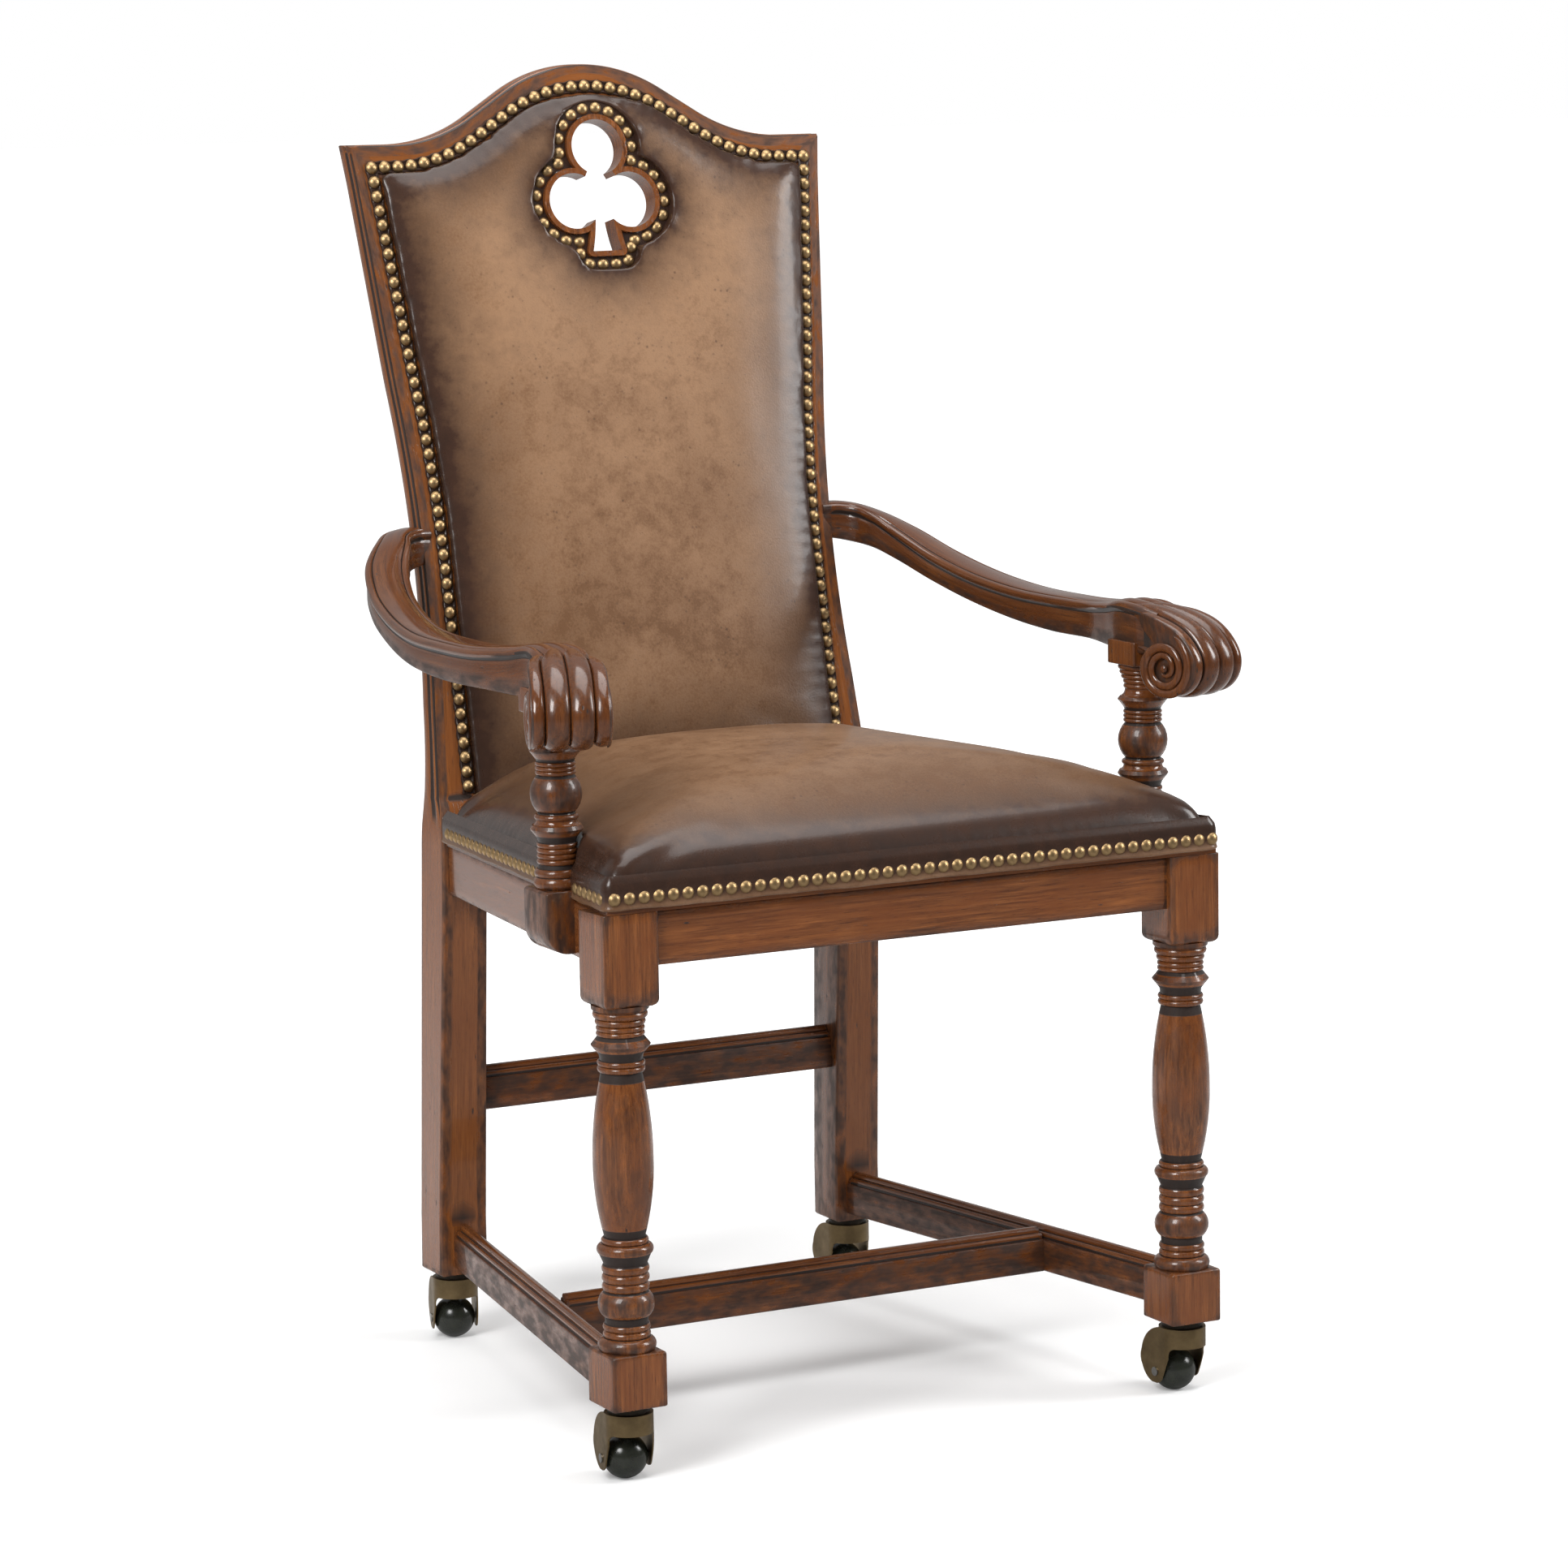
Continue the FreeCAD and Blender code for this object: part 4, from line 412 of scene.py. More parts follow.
for side, label in SIDES:
    centre = (side * LEG_X, LEG_Y)
    turning = revolved(leg_profile, centre, TURNING_SIDES)
    lower = upright_block(centre, LEG_HALF, LEG_FOOT, LOWER_BLOCK_TOP, FOOT_EASE, SHOULDER_EASE, LEG_CORNER)
    upper = upright_block(centre, LEG_HALF, UPPER_BLOCK_FOOT, SEAT_TOP, PENDANT_EASE, TOP_EASE, LEG_CORNER)
    slope = (upper[..., 2] - UPPER_BLOCK_FOOT) / (SEAT_TOP - UPPER_BLOCK_FOOT)
    upper[..., 2] -= slope * (upper[..., 1] - SEAT_FRONT_Y) * SEAT_FALL
    shift = np.array([side * 137.0, 40.0, 0.0])
    add_piece("%s_front_leg_turned" % label, [(g, g + shift, False) for g in (turning, lower, upper)],
              leg_walnut, "front_leg_%s" % label)

# Rear legs. Each is bandsawn from a plank: it leans forward to a knee at the seat, then rakes back as the
# stile of the back, narrow at the waist and flared to a horn, with a moulding run along its outer edge.
BACK_TURN = np.radians(11.3)
RAKE = np.tan(BACK_TURN)
KNEE_TOP, BACK_Y, STILE_DEEP, STILE_WIDTH = 490.0, 169.3, 27.53, 45.0
MOULDING_LOW, MOULDING_FULL, MITRE_SHADE, WIDEST = 486.0, 516.0, 0.5, 1.2
CORNER_X, CORNER_Z, MITRE_X, MITRE_Z, HORN_Z = 243.0, 1101.6, 193.1, 1056.0, 900.0


def back_front_y(z):
    """Depth of the stile's front at a height: that at the knee, and the rake times the height above it."""
    return BACK_Y + (z - KNEE_TOP) * RAKE


leg_outer = drawn([(230.7, 67), (225.4, 475), (217.9, 594), (212.4, 712, 222.8, 884), (239, 1066),
                   (241.2, 1086, CORNER_X, CORNER_Z)], 24)
leg_inner = drawn([
    (183.3, 67), (181.8, 475), (172.9, 594), (167.4, 712, 177.8, 884), (MITRE_X, MITRE_Z)], 24)
leg_front = drawn([(176.8, 67), (176.8, 120), (159.3, 420), (159.3, 478),
                   (164.8, 495.1, back_front_y(512), 512), (back_front_y(1200), 1200)], 12)
leg_back = drawn([(223.3, 67), (223.3, 120), (208.8, 503.1), (209.65, 542.46, 215.17, 581.8),
                  (back_front_y(1200) + STILE_DEEP, 1200)], 12)
# Across the outer side from front to back: share of the depth, how far it lies in plain, how far moulded,
# and how dark the painted shade in the moulding's quirks is.
outer_side = np.array([
    (0.0, 2.0, 2.0, 0), (0.015, 0.8, 2.2, 1.4), (0.05, 0, 2.2, 1.4), (0.09, 0, 1.9, 1.4),
    (0.115, 0, 0.9, 0.9), (0.15, 0, 0.2, 0), (0.19, 0, 0, 0), (0.23, 0, 0.2, 0),
    (0.26, 0, 0.9, 0.9), (0.29, 0, 1.7, 1.4), (0.34, 0, 2.0, 1.4), (0.40, 0, 2.0, 1.4),
    (0.45, 0, 1.6, 1.4), (0.48, 0, 0.8, 1.2), (0.52, 0, 0.3, 0.2), (0.60, 0, 0, 0), (0.70, 0, 0, 0),
    (0.80, 0, 0.3, 0), (0.89, 0, 0.8, 0), (0.95, 0, 1.4, 0), (0.98, 0.6, 2.0, 0.1),
    (1.0, 2.0, 3.0, 0.3)])


def distances(line):
    """Distance of each point along a line from its first."""
    return np.concatenate([[0], np.cumsum(np.linalg.norm(np.diff(line, axis=0), axis=1))])


def moulded_member(outer, inner, moulded, front_line, back_line):
    """Member between an outer and an inner edge seen from the front: each row runs from the outer edge to
    the inner one, and its section goes down the outer side, across the back, up the inner side and over the
    front. A point's depth is a share of the distance between the front and back lines at its height. The
    shade is painted shade in the moulding's quirks."""
    length = np.linalg.norm(inner - outer, axis=1)[:, None]
    weight = np.asarray(moulded, float)[:, None]
    scale = np.minimum(length / STILE_WIDTH, WIDEST)
    side = (outer_side[:, 1] * (1 - weight) + outer_side[:, 2] * weight) * scale
    ease = np.array([0.25, 0.5, 0.75])
    flat = np.ones_like(length)
    inner_in = np.array([1.6, 0.45, 0, 0, 0, 0.45, 1.6])
    across = [side, length * ease, length - inner_in * scale, length * ease[::-1]]
    across = np.concatenate(across, 1) / length
    deep = np.concatenate([
        outer_side[:, 0], np.ones(3), [1.0, 0.97, 0.93, 0.5, 0.07, 0.03, 0.0], np.zeros(3)])[None] * flat
    flat_point = outer[:, None] + across[..., None] * (inner - outer)[:, None]
    x, z = flat_point[..., 0], flat_point[..., 1]
    front = np.interp(z, front_line[:, 1], front_line[:, 0])
    back = np.interp(z, back_line[:, 1], back_line[:, 0])
    y = front + deep * (back - front)
    run = distances(outer)[:, None]
    grain = np.stack([across * length, y - front, run * np.ones_like(x)], -1)
    shade = np.zeros_like(x)
    # Painted shade: the quirks are darkened in colour, as shadow would darken them.
    shade[:, :len(outer_side)] = outer_side[:, 3] * weight
    return np.stack([x, y, z], -1), grain, shade


def ramp(value, low, high):
    """0 at one value, rising evenly to 1 at the other, and held outside them."""
    return np.clip((value - low) / (high - low), 0, 1)


def mirrored(points, side):
    """Points of the right side as they are, or turned over to the left."""
    return points * np.array([side, 1, 1])


level = np.concatenate([
    [67.0, 68.6], np.linspace(72, 112, 4), np.linspace(120, 470, 18), np.linspace(478, 520, 12),
    np.linspace(530, 1060, 60), np.linspace(1066, CORNER_Z, 12)])
horn_share = (level - HORN_Z) / (CORNER_Z - HORN_Z)
inner_level = np.where(level < HORN_Z, level, HORN_Z + horn_share * (MITRE_Z - HORN_Z))
stile_outer = np.stack([np.interp(level, leg_outer[:, 1], leg_outer[:, 0]), level], 1)
stile_inner = np.stack([np.interp(inner_level, leg_inner[:, 1], leg_inner[:, 0]), inner_level], 1)
stile_outer[0, 0] -= FOOT_EASE
stile_inner[0, 0] += FOOT_EASE
moulding_start = ramp(level, MOULDING_LOW, MOULDING_FULL)
points, grain, shade = moulded_member(stile_outer, stile_inner, moulding_start, leg_front, leg_back)
shade[-1] += MITRE_SHADE
rear_walnut = walnut("rear_leg_walnut", -0.25)
for side, label in SIDES:
    shift = np.array([side * 90.0, 33.0, side * 410.0])
    add_piece("%s_rear_leg_sawn" % label, [(mirrored(points, side), grain + shift, False, shade)],
              rear_walnut, "rear_leg_%s" % label)

# Crest rail. Sawn from a wide board: flat shoulders, a hollow and a crown, mitred to the stiles and
# carrying their moulding along its top. Its underside is cut away round the club opening.
CLUB_GAP, CLUB_SIDE_X, CLUB_TOP_Z, CLUB_SIDE_Z, SHOULDER_X = 43.2, 28.2, 1092.0, 1043.0, 150.0
half_top = drawn([(CORNER_X, CORNER_Z), (199.7, CORNER_Z), (158.9, 1107.4, 118.5, 1124.7), (80.6, 1148.2),
                  (41.3, 1165.5, 0, 1171.2)], 30)
crest_x = np.concatenate([np.linspace(CORNER_X, 205, 10), np.linspace(199, 0, 70)])
crest_x = np.concatenate([crest_x, -crest_x[-2::-1]])
wide = np.abs(crest_x)
crest_outer = np.stack([crest_x, np.interp(wide, half_top[::-1, 0], half_top[::-1, 1])], 1)
squeeze = (MITRE_X - SHOULDER_X) / (CORNER_X - SHOULDER_X)
under_wide = np.where(wide < SHOULDER_X, wide, SHOULDER_X + (wide - SHOULDER_X) * squeeze)
under_x = np.sign(crest_x) * under_wide
top_lobe = CLUB_TOP_Z + np.sqrt(np.maximum(CLUB_GAP ** 2 - under_x ** 2, 0))
side_lobe = CLUB_SIDE_Z + np.sqrt(np.maximum(CLUB_GAP ** 2 - (under_wide - CLUB_SIDE_X) ** 2, 0))
under_z = np.maximum(MITRE_Z, np.where(under_wide < CLUB_GAP, top_lobe, side_lobe))
crest_inner = np.stack([under_x, under_z], 1)
points, grain, shade = moulded_member(crest_outer, crest_inner, np.ones(len(crest_x)), leg_front, leg_back)
shade[[0, -1]] += MITRE_SHADE
add_piece("crest_rail_moulded", [(points, grain, False, shade)], walnut("crest_walnut", -0.4), "crest_rail")

# Stretchers. Straight bars tenoned between the legs, a low one on each side, one across between them and a
# higher one behind. Each has flat sides, a step and a reeded top, run with a moulding plane.
STRETCHER_LOW, STRETCHER_HALF, CROSS_Y, REAR_Y, REAR_LOW = 74.0, 11.25, -106.2, 193.05, 218.0
SIDE_FRONT_X, SIDE_FRONT_Y, SIDE_REAR_X, SIDE_REAR_Y, REAR_X = 276.15, -277.2, 205.95, 176.8, 182.6
half_section = drawn([
    (0, 0), (10.0, 0), (STRETCHER_HALF, 1.2), (STRETCHER_HALF, 28.4), (10.6, 29.5), (8.9, 29.7),
    (8.65, 31.6), (8.0, 34.6, 5.2, 34.6), (4.6, 34.2), (4.2, 34.9), (3.3, 39.0, 0, 40.0)], 7)
stretcher_section = np.concatenate([half_section, half_section[-2:0:-1] * np.array([-1, 1])])
ACROSS_X, ACROSS_Y, STRETCHER_ROWS = np.array([1.0, 0, 0]), np.array([0, 1.0, 0]), 26


def carried(section, start, finish, across, rows, skew=0.0):
    """A section carried straight from one end to the other, its width lying along x or y, with more rows
    close to both ends. Its ends are cut on planes across the chair, or skewed."""
    close = np.array([0, 0.003, 0.006, 0.009])
    share = np.concatenate([close, np.linspace(0.02, 0.98, rows), 1 - close[::-1]])[:, None]
    run = np.array(finish) - np.array(start)
    offset = section[:, :1] * across + section[:, 1:] * np.array([0, 0, 1.0])
    points = (np.array(start) + share * run)[:, None] + offset[None]
    points[..., 0] += (2 * share - 1) * skew * offset[None, :, 1]
    grain = np.broadcast_arrays(section[None, :, 0], section[None, :, 1], share * np.linalg.norm(run))
    return points, np.stack(grain, -1)


def both_ends(x, y, z):
    """The two ends of a bar that runs straight across the chair."""
    return (-x, y, z), (x, y, z)


stretcher_walnut = walnut("stretcher_walnut", 0.12)
taper = (SIDE_FRONT_X - SIDE_REAR_X) / (SIDE_REAR_Y - SIDE_FRONT_Y)
cross_x = SIDE_FRONT_X - STRETCHER_HALF - taper * (CROSS_Y - SIDE_FRONT_Y)
side_ends = np.array([
    (SIDE_FRONT_X, SIDE_FRONT_Y, STRETCHER_LOW), (SIDE_REAR_X, SIDE_REAR_Y, STRETCHER_LOW)])
stretchers = [
    (label, *mirrored(side_ends, side), ACROSS_X, 0.0, side * 61.0) for side, label in SIDES]
stretchers += [("cross", *both_ends(cross_x, CROSS_Y, STRETCHER_LOW), ACROSS_Y, -taper, 300.0),
               ("rear", *both_ends(REAR_X, REAR_Y, REAR_LOW), ACROSS_Y, 0.0, 500.0)]
for label, start, finish, across, skew, shift in stretchers:
    points, grain = carried(stretcher_section, start, finish, across, STRETCHER_ROWS, skew)
    add_piece("%s_stretcher_reeded" % label, [(points, grain + shift, False)], stretcher_walnut,
              "%s_stretcher" % label)

# Seat rails. Four plain boards tenoned into the legs, the sides tapering in plan and falling to the rear,
# with eased edges. Glued corner blocks and screws inside hold the deck.
RAIL_TALL, RAIL_THICK, RAIL_EASE, FRONT_SINK = 45.5, 25.0, 1.8, 0.5
FRONT_RAIL_X, FRONT_RAIL_Y, REAR_RAIL_X, REAR_RAIL_Y = 247.2, -308.2, 181.6, 186.8
SIDE_RAIL_ENDS, RAIL_ROWS = ((276.0, -277.2), (208.0, 159.4)), 22


def rail_z(y):
    """Height of a rail's middle: the seat's slope at that depth, less half the rail."""
    return SEAT_TOP - (y - SEAT_FRONT_Y) * SEAT_FALL - RAIL_TALL / 2


rail_walnut = walnut("seat_rail_walnut")
side_ends = np.array([(x, y, rail_z(y)) for x, y in SIDE_RAIL_ENDS])
front_mid, rear_mid = rail_z(FRONT_RAIL_Y) - FRONT_SINK, rail_z(REAR_RAIL_Y + RAIL_THICK / 2)
rails = [(label, *mirrored(side_ends, side), ACROSS_X, side * 77.0) for side, label in SIDES]
rails += [("front", *both_ends(FRONT_RAIL_X, FRONT_RAIL_Y, front_mid), ACROSS_Y, 200.0),
          ("rear", *both_ends(REAR_RAIL_X, REAR_RAIL_Y, rear_mid), ACROSS_Y, 700.0)]
rail_section = rounded_box(RAIL_THICK / 2, RAIL_TALL / 2, RAIL_EASE, 4, 6)
for label, start, finish, across, shift in rails:
    points, grain = carried(rail_section, start, finish, across, RAIL_ROWS)
    add_piece("%s_seat_rail_eased" % label, [(points, grain + shift, False)], rail_walnut,
              "%s_seat_rail" % label)
inside_walnut = walnut_on_cad("inside_walnut", (0, np.pi / 2, 0), 0.3)
dress(inside_walnut, "corner_blocks", "lower_back_rail", "back_board", "seat_deck")

# Arms. Bent and carved from thick stock: a flat-sided bar with a bead along each top edge, swept out from
# the stile and forward, ending over the post in a scrolled knuckle of four lobes with a volute on each
# face.
ARM_WIDE, ARM_TALL, ARM_TOP, ARM_RISE = 40.0, 36.5, 688.0, 68.0
WAIST_X, ARM_BACK_Y, ARM_RUN, ARM_OUT, POST_IN = 212.4, 223.3, 441.8, 88.6, 14.4 / 88.6
EYE, EYE_TURN = np.array([300.5, -273.2, 640.6]), np.radians(20.0)
arm_stations = np.array([
    (-0.068, -0.0214, 0.993, 76, 0.75, 0.904), (0.097, -0.0124, 1, 72, 0.775, 0.973),
    (0.26, 0.0067, 0.971, 62, 0.825, 1), (0.413, 0.0517, 0.882, 47, 0.9, 0.945),
    (0.605, 0.1102, 0.676, 29, 0.975, 0.849), (0.78, 0.207, 0.39, 16, 1, 0.767),
    (0.91, 0.3375, 0.162, 6, 1, 0.767), (1, 0.4837, 0.03, 3, 1, 0.836), (1.0226, 0.6524, 0, 0, 1, 0.93),
    (1, 0.8155, 0.025, -3, 1, 0.975), (1 - 0.49 * POST_IN, 0.9055, 0.08, -12, 1.025, 1.10),
    (1 - 0.93 * POST_IN, 0.9865, 0.15, -4, 1.1, 1.25), (1 - 0.83 * POST_IN, 1.045, 0.12, 14, 1.18, 1.2),
    (1 - 0.60 * POST_IN, 1.085, 0.05, 20, 1.08, 0.95)])


def eased_through(knots, values, at):
    """Smooth line through values at knots: on each span a cubic that meets its neighbours with the slope of
    the chord from the knot before to the knot after."""
    slope = np.gradient(values, knots, axis=0)
    here = np.clip(np.searchsorted(knots, at, "right") - 1, 0, len(knots) - 2)
    width = (knots[here + 1] - knots[here])[:, None]
    t = ((at - knots[here]) / width[:, 0])[:, None]
    start = (2 * t ** 3 - 3 * t ** 2 + 1) * values[here] + (t ** 3 - 2 * t ** 2 + t) * width * slope[here]
    finish = (3 * t ** 2 - 2 * t ** 3) * values[here + 1] + (t ** 3 - t ** 2) * width * slope[here + 1]
    return start + finish


def reeds(place, breaks, power):
    """Height of rounded reeds between breaks across a width from -1 to 1: on each reed it is a
    superellipse, 0 at its edges and 1 over its middle."""
    breaks = np.asarray(breaks)
    reed = np.clip(np.searchsorted(breaks, place, "right") - 1, 0, len(breaks) - 2)
    low, high = breaks[reed], breaks[reed + 1]
    offset = np.abs(2 * (place - low) / (high - low) - 1)
    bend = np.asarray(power)[reed]
    return np.maximum(1 - offset ** bend, 0) ** (1 / bend)


LOBE_BREAKS, LOBE_POWER, LOBE_DEEP = (-1, -0.59, 0.02, 0.65, 1), (2.1,) * 4, 6.0
BAR_BREAKS, BAR_POWER, BAR_DEEP = (-1, -0.66, 0.66, 1), (2.0, 7.0, 2.0), 2.6
ARM_ROWS, TOP_COUNT, TOP_CROWN, OPENS_AT, OPEN_AT = 120, 61, 3.0, 8, 12
REED_LOW, REED_SOFT, REED_DARK, QUIRK_DARK = 0.45, 0.3, 0.7, 1.0
x_line = WAIST_X + arm_stations[:, 0] * ARM_OUT
y_line = ARM_BACK_Y - arm_stations[:, 1] * ARM_RUN
arm_line = np.stack([x_line, y_line, ARM_TOP + arm_stations[:, 2] * ARM_RISE, arm_stations[:, 3],
                     arm_stations[:, 4] * ARM_WIDE / 2, arm_stations[:, 5] * ARM_TALL], 1)
knots = distances(arm_line[:, :3])
run = np.linspace(0, knots[-1], ARM_ROWS)
arm_line = eased_through(knots, arm_line, run)
heading = np.radians(arm_line[:, 3:4])
half, deep = arm_line[:, 4:5], arm_line[:, 5:6]
opening = ramp(run[:, None], knots[OPENS_AT], knots[OPEN_AT])
opening = opening * opening * (3 - 2 * opening)
top_place = np.linspace(-0.999, 0.999, TOP_COUNT)[None, ::-1]
beads, lobes = reeds(top_place, BAR_BREAKS, BAR_POWER), reeds(top_place, LOBE_BREAKS, LOBE_POWER)
top_drop = TOP_CROWN * top_place ** 2 + (1 - opening) * BAR_DEEP * (1 - beads)
top_drop = top_drop + opening * LOBE_DEEP * (1 - lobes)
side_in = np.array([0.2, 0.8, 1.9, 2.2, 1.8, 1.5, 1.5, 1.5, 2.2, 3.8])
side_down = np.array([7.0, 9.0, 10.4, 11.2, 12.4, 15.0])
down = np.broadcast_to(side_down, (len(run), len(side_down)))
down = np.concatenate([down, 0.5 * deep + 4.0, deep - 3.0, deep - 0.9, deep], 1)
across = np.concatenate([top_place * half, -(half - side_in), half - side_in[::-1]], 1)
below = np.concatenate([top_drop, down, down[:, ::-1]], 1)
bar = np.stack([arm_line[:, :1] + across * np.cos(heading), arm_line[:, 1:2] + across * np.sin(heading),
                arm_line[:, 2:3] - below], -1)
bar_grain = np.stack([across, below, run[:, None] * np.ones_like(across)], -1)
# Painted shade: the grooves between the reeds and the quirks under the beads are darkened in colour.
bar_shade = np.zeros_like(below)
groove = (1 - opening) * (REED_LOW - beads) + opening * (REED_LOW - lobes)
bar_shade[:, :TOP_COUNT] = REED_DARK * ramp(groove, 0, REED_SOFT)
bar_shade[:, [TOP_COUNT + 1, TOP_COUNT + 2, TOP_COUNT + 3, -2, -3, -4]] = QUIRK_DARK

KNUCKLE_ROOT, PROFILE_COUNT, LOBE_COUNT = -58.0, 170, 13
INNER_SHARE, OUTER_SHARE, EDGE_PLACE, EDGE_SINK, LOBE_DARK = 0.90, 0.94, 0.82, 0.45, 1.1
COIL_FORWARD, COIL_UP, FACE_OUT, FACE_SHIFT, COIL_SINK = -2.0, 2.4, 32.4, -1.0, 0.7
COIL_LIFT, COIL_DARK, BOSS_REACH, BOSS_LIFT = 0.68, 1.2, 3.6, 2.4
profile = drawn([
    (KNUCKLE_ROOT, 54.0), (-40, 55.4), (-18, 53.2, 0, 48.0), (22.5, 34.8, 35.2, 18.6), (38.3, 6, 35.5, -7),
    (25, -19.0, 9, -24), (-15.5, -19.5, -27.5, -6), (-30, 4, -29, 15), (KNUCKLE_ROOT, 20)], 40)


def spaced(line, count):
    """Line set out again with points at even distances, and the distance along it."""
    reach = distances(line)
    at = np.linspace(0, reach[-1], count)
    return np.stack([np.interp(at, reach, line[:, k]) for k in range(2)], 1), at


profile = spaced(np.concatenate([profile, profile[:1]]), PROFILE_COUNT + 1)[0][:-1]
for _ in range(6):
    profile = (np.roll(profile, 1, 0) + 2 * profile + np.roll(profile, -1, 0)) / 4
ahead = np.roll(profile, -1, 0) - np.roll(profile, 1, 0)
outward = np.stack([-ahead[:, 1], ahead[:, 0]], 1) / np.linalg.norm(ahead, axis=1)[:, None]
lobe_place = np.sin(np.linspace(-0.5, 0.5, LOBE_COUNT) * np.pi)
lobe_edges = np.array(LOBE_BREAKS)
lobe_place = np.concatenate([
    (lobe_edges[k] + lobe_edges[k + 1]) / 2 + lobe_place * 0.4995 * (lobe_edges[k + 1] - lobe_edges[k])
    for k in range(4)])[:, None]
share = np.where(lobe_place > LOBE_BREAKS[3], OUTER_SHARE, 1.0)
share = np.where(lobe_place < LOBE_BREAKS[1], INNER_SHARE, share)
sink = LOBE_DEEP * (1 - reeds(lobe_place, LOBE_BREAKS, LOBE_POWER))
sink = np.where(np.abs(lobe_place) > EDGE_PLACE, EDGE_SINK * sink, sink)
forward = share * profile[None, :, 0] - sink * outward[None, :, 0]
upward = share * profile[None, :, 1] - sink * outward[None, :, 1]
spread = np.interp(profile[:, 0], (KNUCKLE_ROOT, -40, -28, -14, 0), (15.5, 21.5, 27.0, 31.2, 32.5))
sideways = lobe_place * spread[None] + FACE_SHIFT
# Painted shade down in the grooves between the knuckle's lobes.
knuckle_shade = LOBE_DARK * ramp(sink / LOBE_DEEP, 0.42, 0.72) * np.ones_like(forward)
eye_plane = np.array([
    EYE, (np.sin(EYE_TURN), -np.cos(EYE_TURN), 0), (0, 0, 1.0), (np.cos(EYE_TURN), np.sin(EYE_TURN), 0)])


def off_plane(plane, *parts):
    """Place in the chair of distances along a plane's three directions, which follow its origin."""
    return plane[0] + np.stack(np.broadcast_arrays(*parts), -1) @ plane[1:]


knuckle = off_plane(eye_plane, forward, upward, sideways)
knuckle_grain = np.stack([sideways, forward, upward], -1)


def on_face(face, radial, angle, lift):
    """Place on one of the knuckle's two faces, by distance and angle from the coil's centre and by lift."""
    return off_plane(eye_plane, radial * np.cos(angle) + COIL_FORWARD, radial * np.sin(angle) + COIL_UP,
                     face * (FACE_OUT + lift) + FACE_SHIFT)


def volute(face):
    """Raised half-round band on a spiral: its distance from the coil's centre and its width shrink with the
    angle turned, through a few set values. Its painted shade is dark along both edges of the band."""
    turned = np.linspace(70, -830, 190)[:, None]
    turns = (-70, -45, 0, 90, 180, 270, 360, 450, 540, 630, 720, 830)
    reach = np.interp(-turned, turns, (31, 29, 26, 21.8, 21.6, 18.8, 17.0, 15.0, 14.0, 11.8, 9.0, 5.4))
    wide = np.interp(-turned, turns, (0.8, 3.4, 4.6, 3.6, 4.5, 3.8, 3.7, 3.3, 3.2, 2.8, 2.5, 1.4))
    angle = np.radians(turned)
    bend = np.linspace(0, np.pi, 11)[None]
    radial = reach + wide * np.cos(bend)
    lift = COIL_LIFT * wide * np.sin(bend) - COIL_SINK
    shade = COIL_DARK * ramp(np.abs(np.cos(bend)), 8 / 13, 1) * np.ones_like(angle)
    return on_face(face, radial, angle, lift), shade


def button(face):
    """Small dome in the middle of a coil: a quarter circle turned about the coil's axis."""
    rise = np.linspace(0, 0.97 * np.pi / 2, 6)[:, None]
    round_it = np.linspace(0, FULL_TURN, 18, endpoint=False)[None]
    radial = BOSS_REACH * np.cos(rise)
    lift = BOSS_LIFT * np.sin(rise) * np.ones_like(round_it) - COIL_SINK
    return on_face(face, radial, round_it, lift)


arm_walnut = walnut("arm_walnut", 0.5)
for side, label in SIDES:
    grids = [(mirrored(bar, side), bar_grain + side * 55.0, False, bar_shade),
             (mirrored(knuckle, side), knuckle_grain + side * 25.0, False, knuckle_shade)]
    for face in (-1, 1):
        coil, shade = volute(face)
        coil, boss = mirrored(coil, side), mirrored(button(face), side)
        grids += [(coil, coil, False, shade), (boss, boss, False)]
    add_piece("%s_arm_carved" % label, grids, arm_walnut, "%s_arm" % label)

# Arm posts. Turned baluster posts, each in one piece with a square cap under the arm and a bracket block
# that is screwed to the side rail from inside; the block's lower outer edge is sawn to a curve.
POST_X, POST_Y, POST_HIGH = 286.6, -218.5, 640.5
CAP_HALF, CAP_TOP, CAP_EASE, CAP_CORNER = 22.5, 662.0, 1.2, 1.6
post_profile = drawn([
    (18.6, 493), (20.6, 498, 18.0, 503), (19.6, 506.6, 16.4, 510), (15.6, 513.4),
    (17.4, 515.8, 15.5, 518.2), (17.3, 520.4, 15.5, 522.8), (17.3, 525, 15.5, 527.4),
    (17.3, 529.8, 15.8, 532), (17.2, 536), (21.9, 542), (22.5, 543.2), (20.8, 546.4),
    (18.0, 548.2, 17.2, 551), (18.9, 553.3, 15.8, 555.8), (15.4, 556.6), (22.0, 572.6, 15.4, 588.6),
    (17.2, 590.5, 15.5, 592.4), (17.2, 594.3, 15.5, 596.2), (17.2, 598.1, 15.8, 600), (17.2, 602.6),
    (21.5, 608.2), (22.2, 609.2), (20.2, 611.8), (16.6, 614.8, 15.6, 618.8),
    (16.9, 620.9, 15.7, 623), (17.2, 625.2, 16.2, 627.5), (18.9, 629.5, 17.8, 631.5),
    (20.3, 633.5, 19.4, 635.5), (21.6, 637.8, 20.5, POST_HIGH)], 9)
post_walnut = walnut("arm_post_walnut", 0.2)
block_loop = drawn([
    (262.0, 439.5), (288.1, 439.5), (302.1, 445.5, 308.1, 459.5), (308.1, 491.0), (306.1, 493.0),
    (262.0, 493.0)], 12)
block_rows = np.array([
    (-23.0, 1.6), (-22.4, 0.5), (-21.2, 0), (-8, 0), (8, 0), (21.2, 0), (22.4, 0.5), (23.0, 1.6)])
block_middle = np.array([285.0, 466.0])
toward = block_middle - block_loop
toward = toward / np.linalg.norm(toward, axis=1)[:, None]
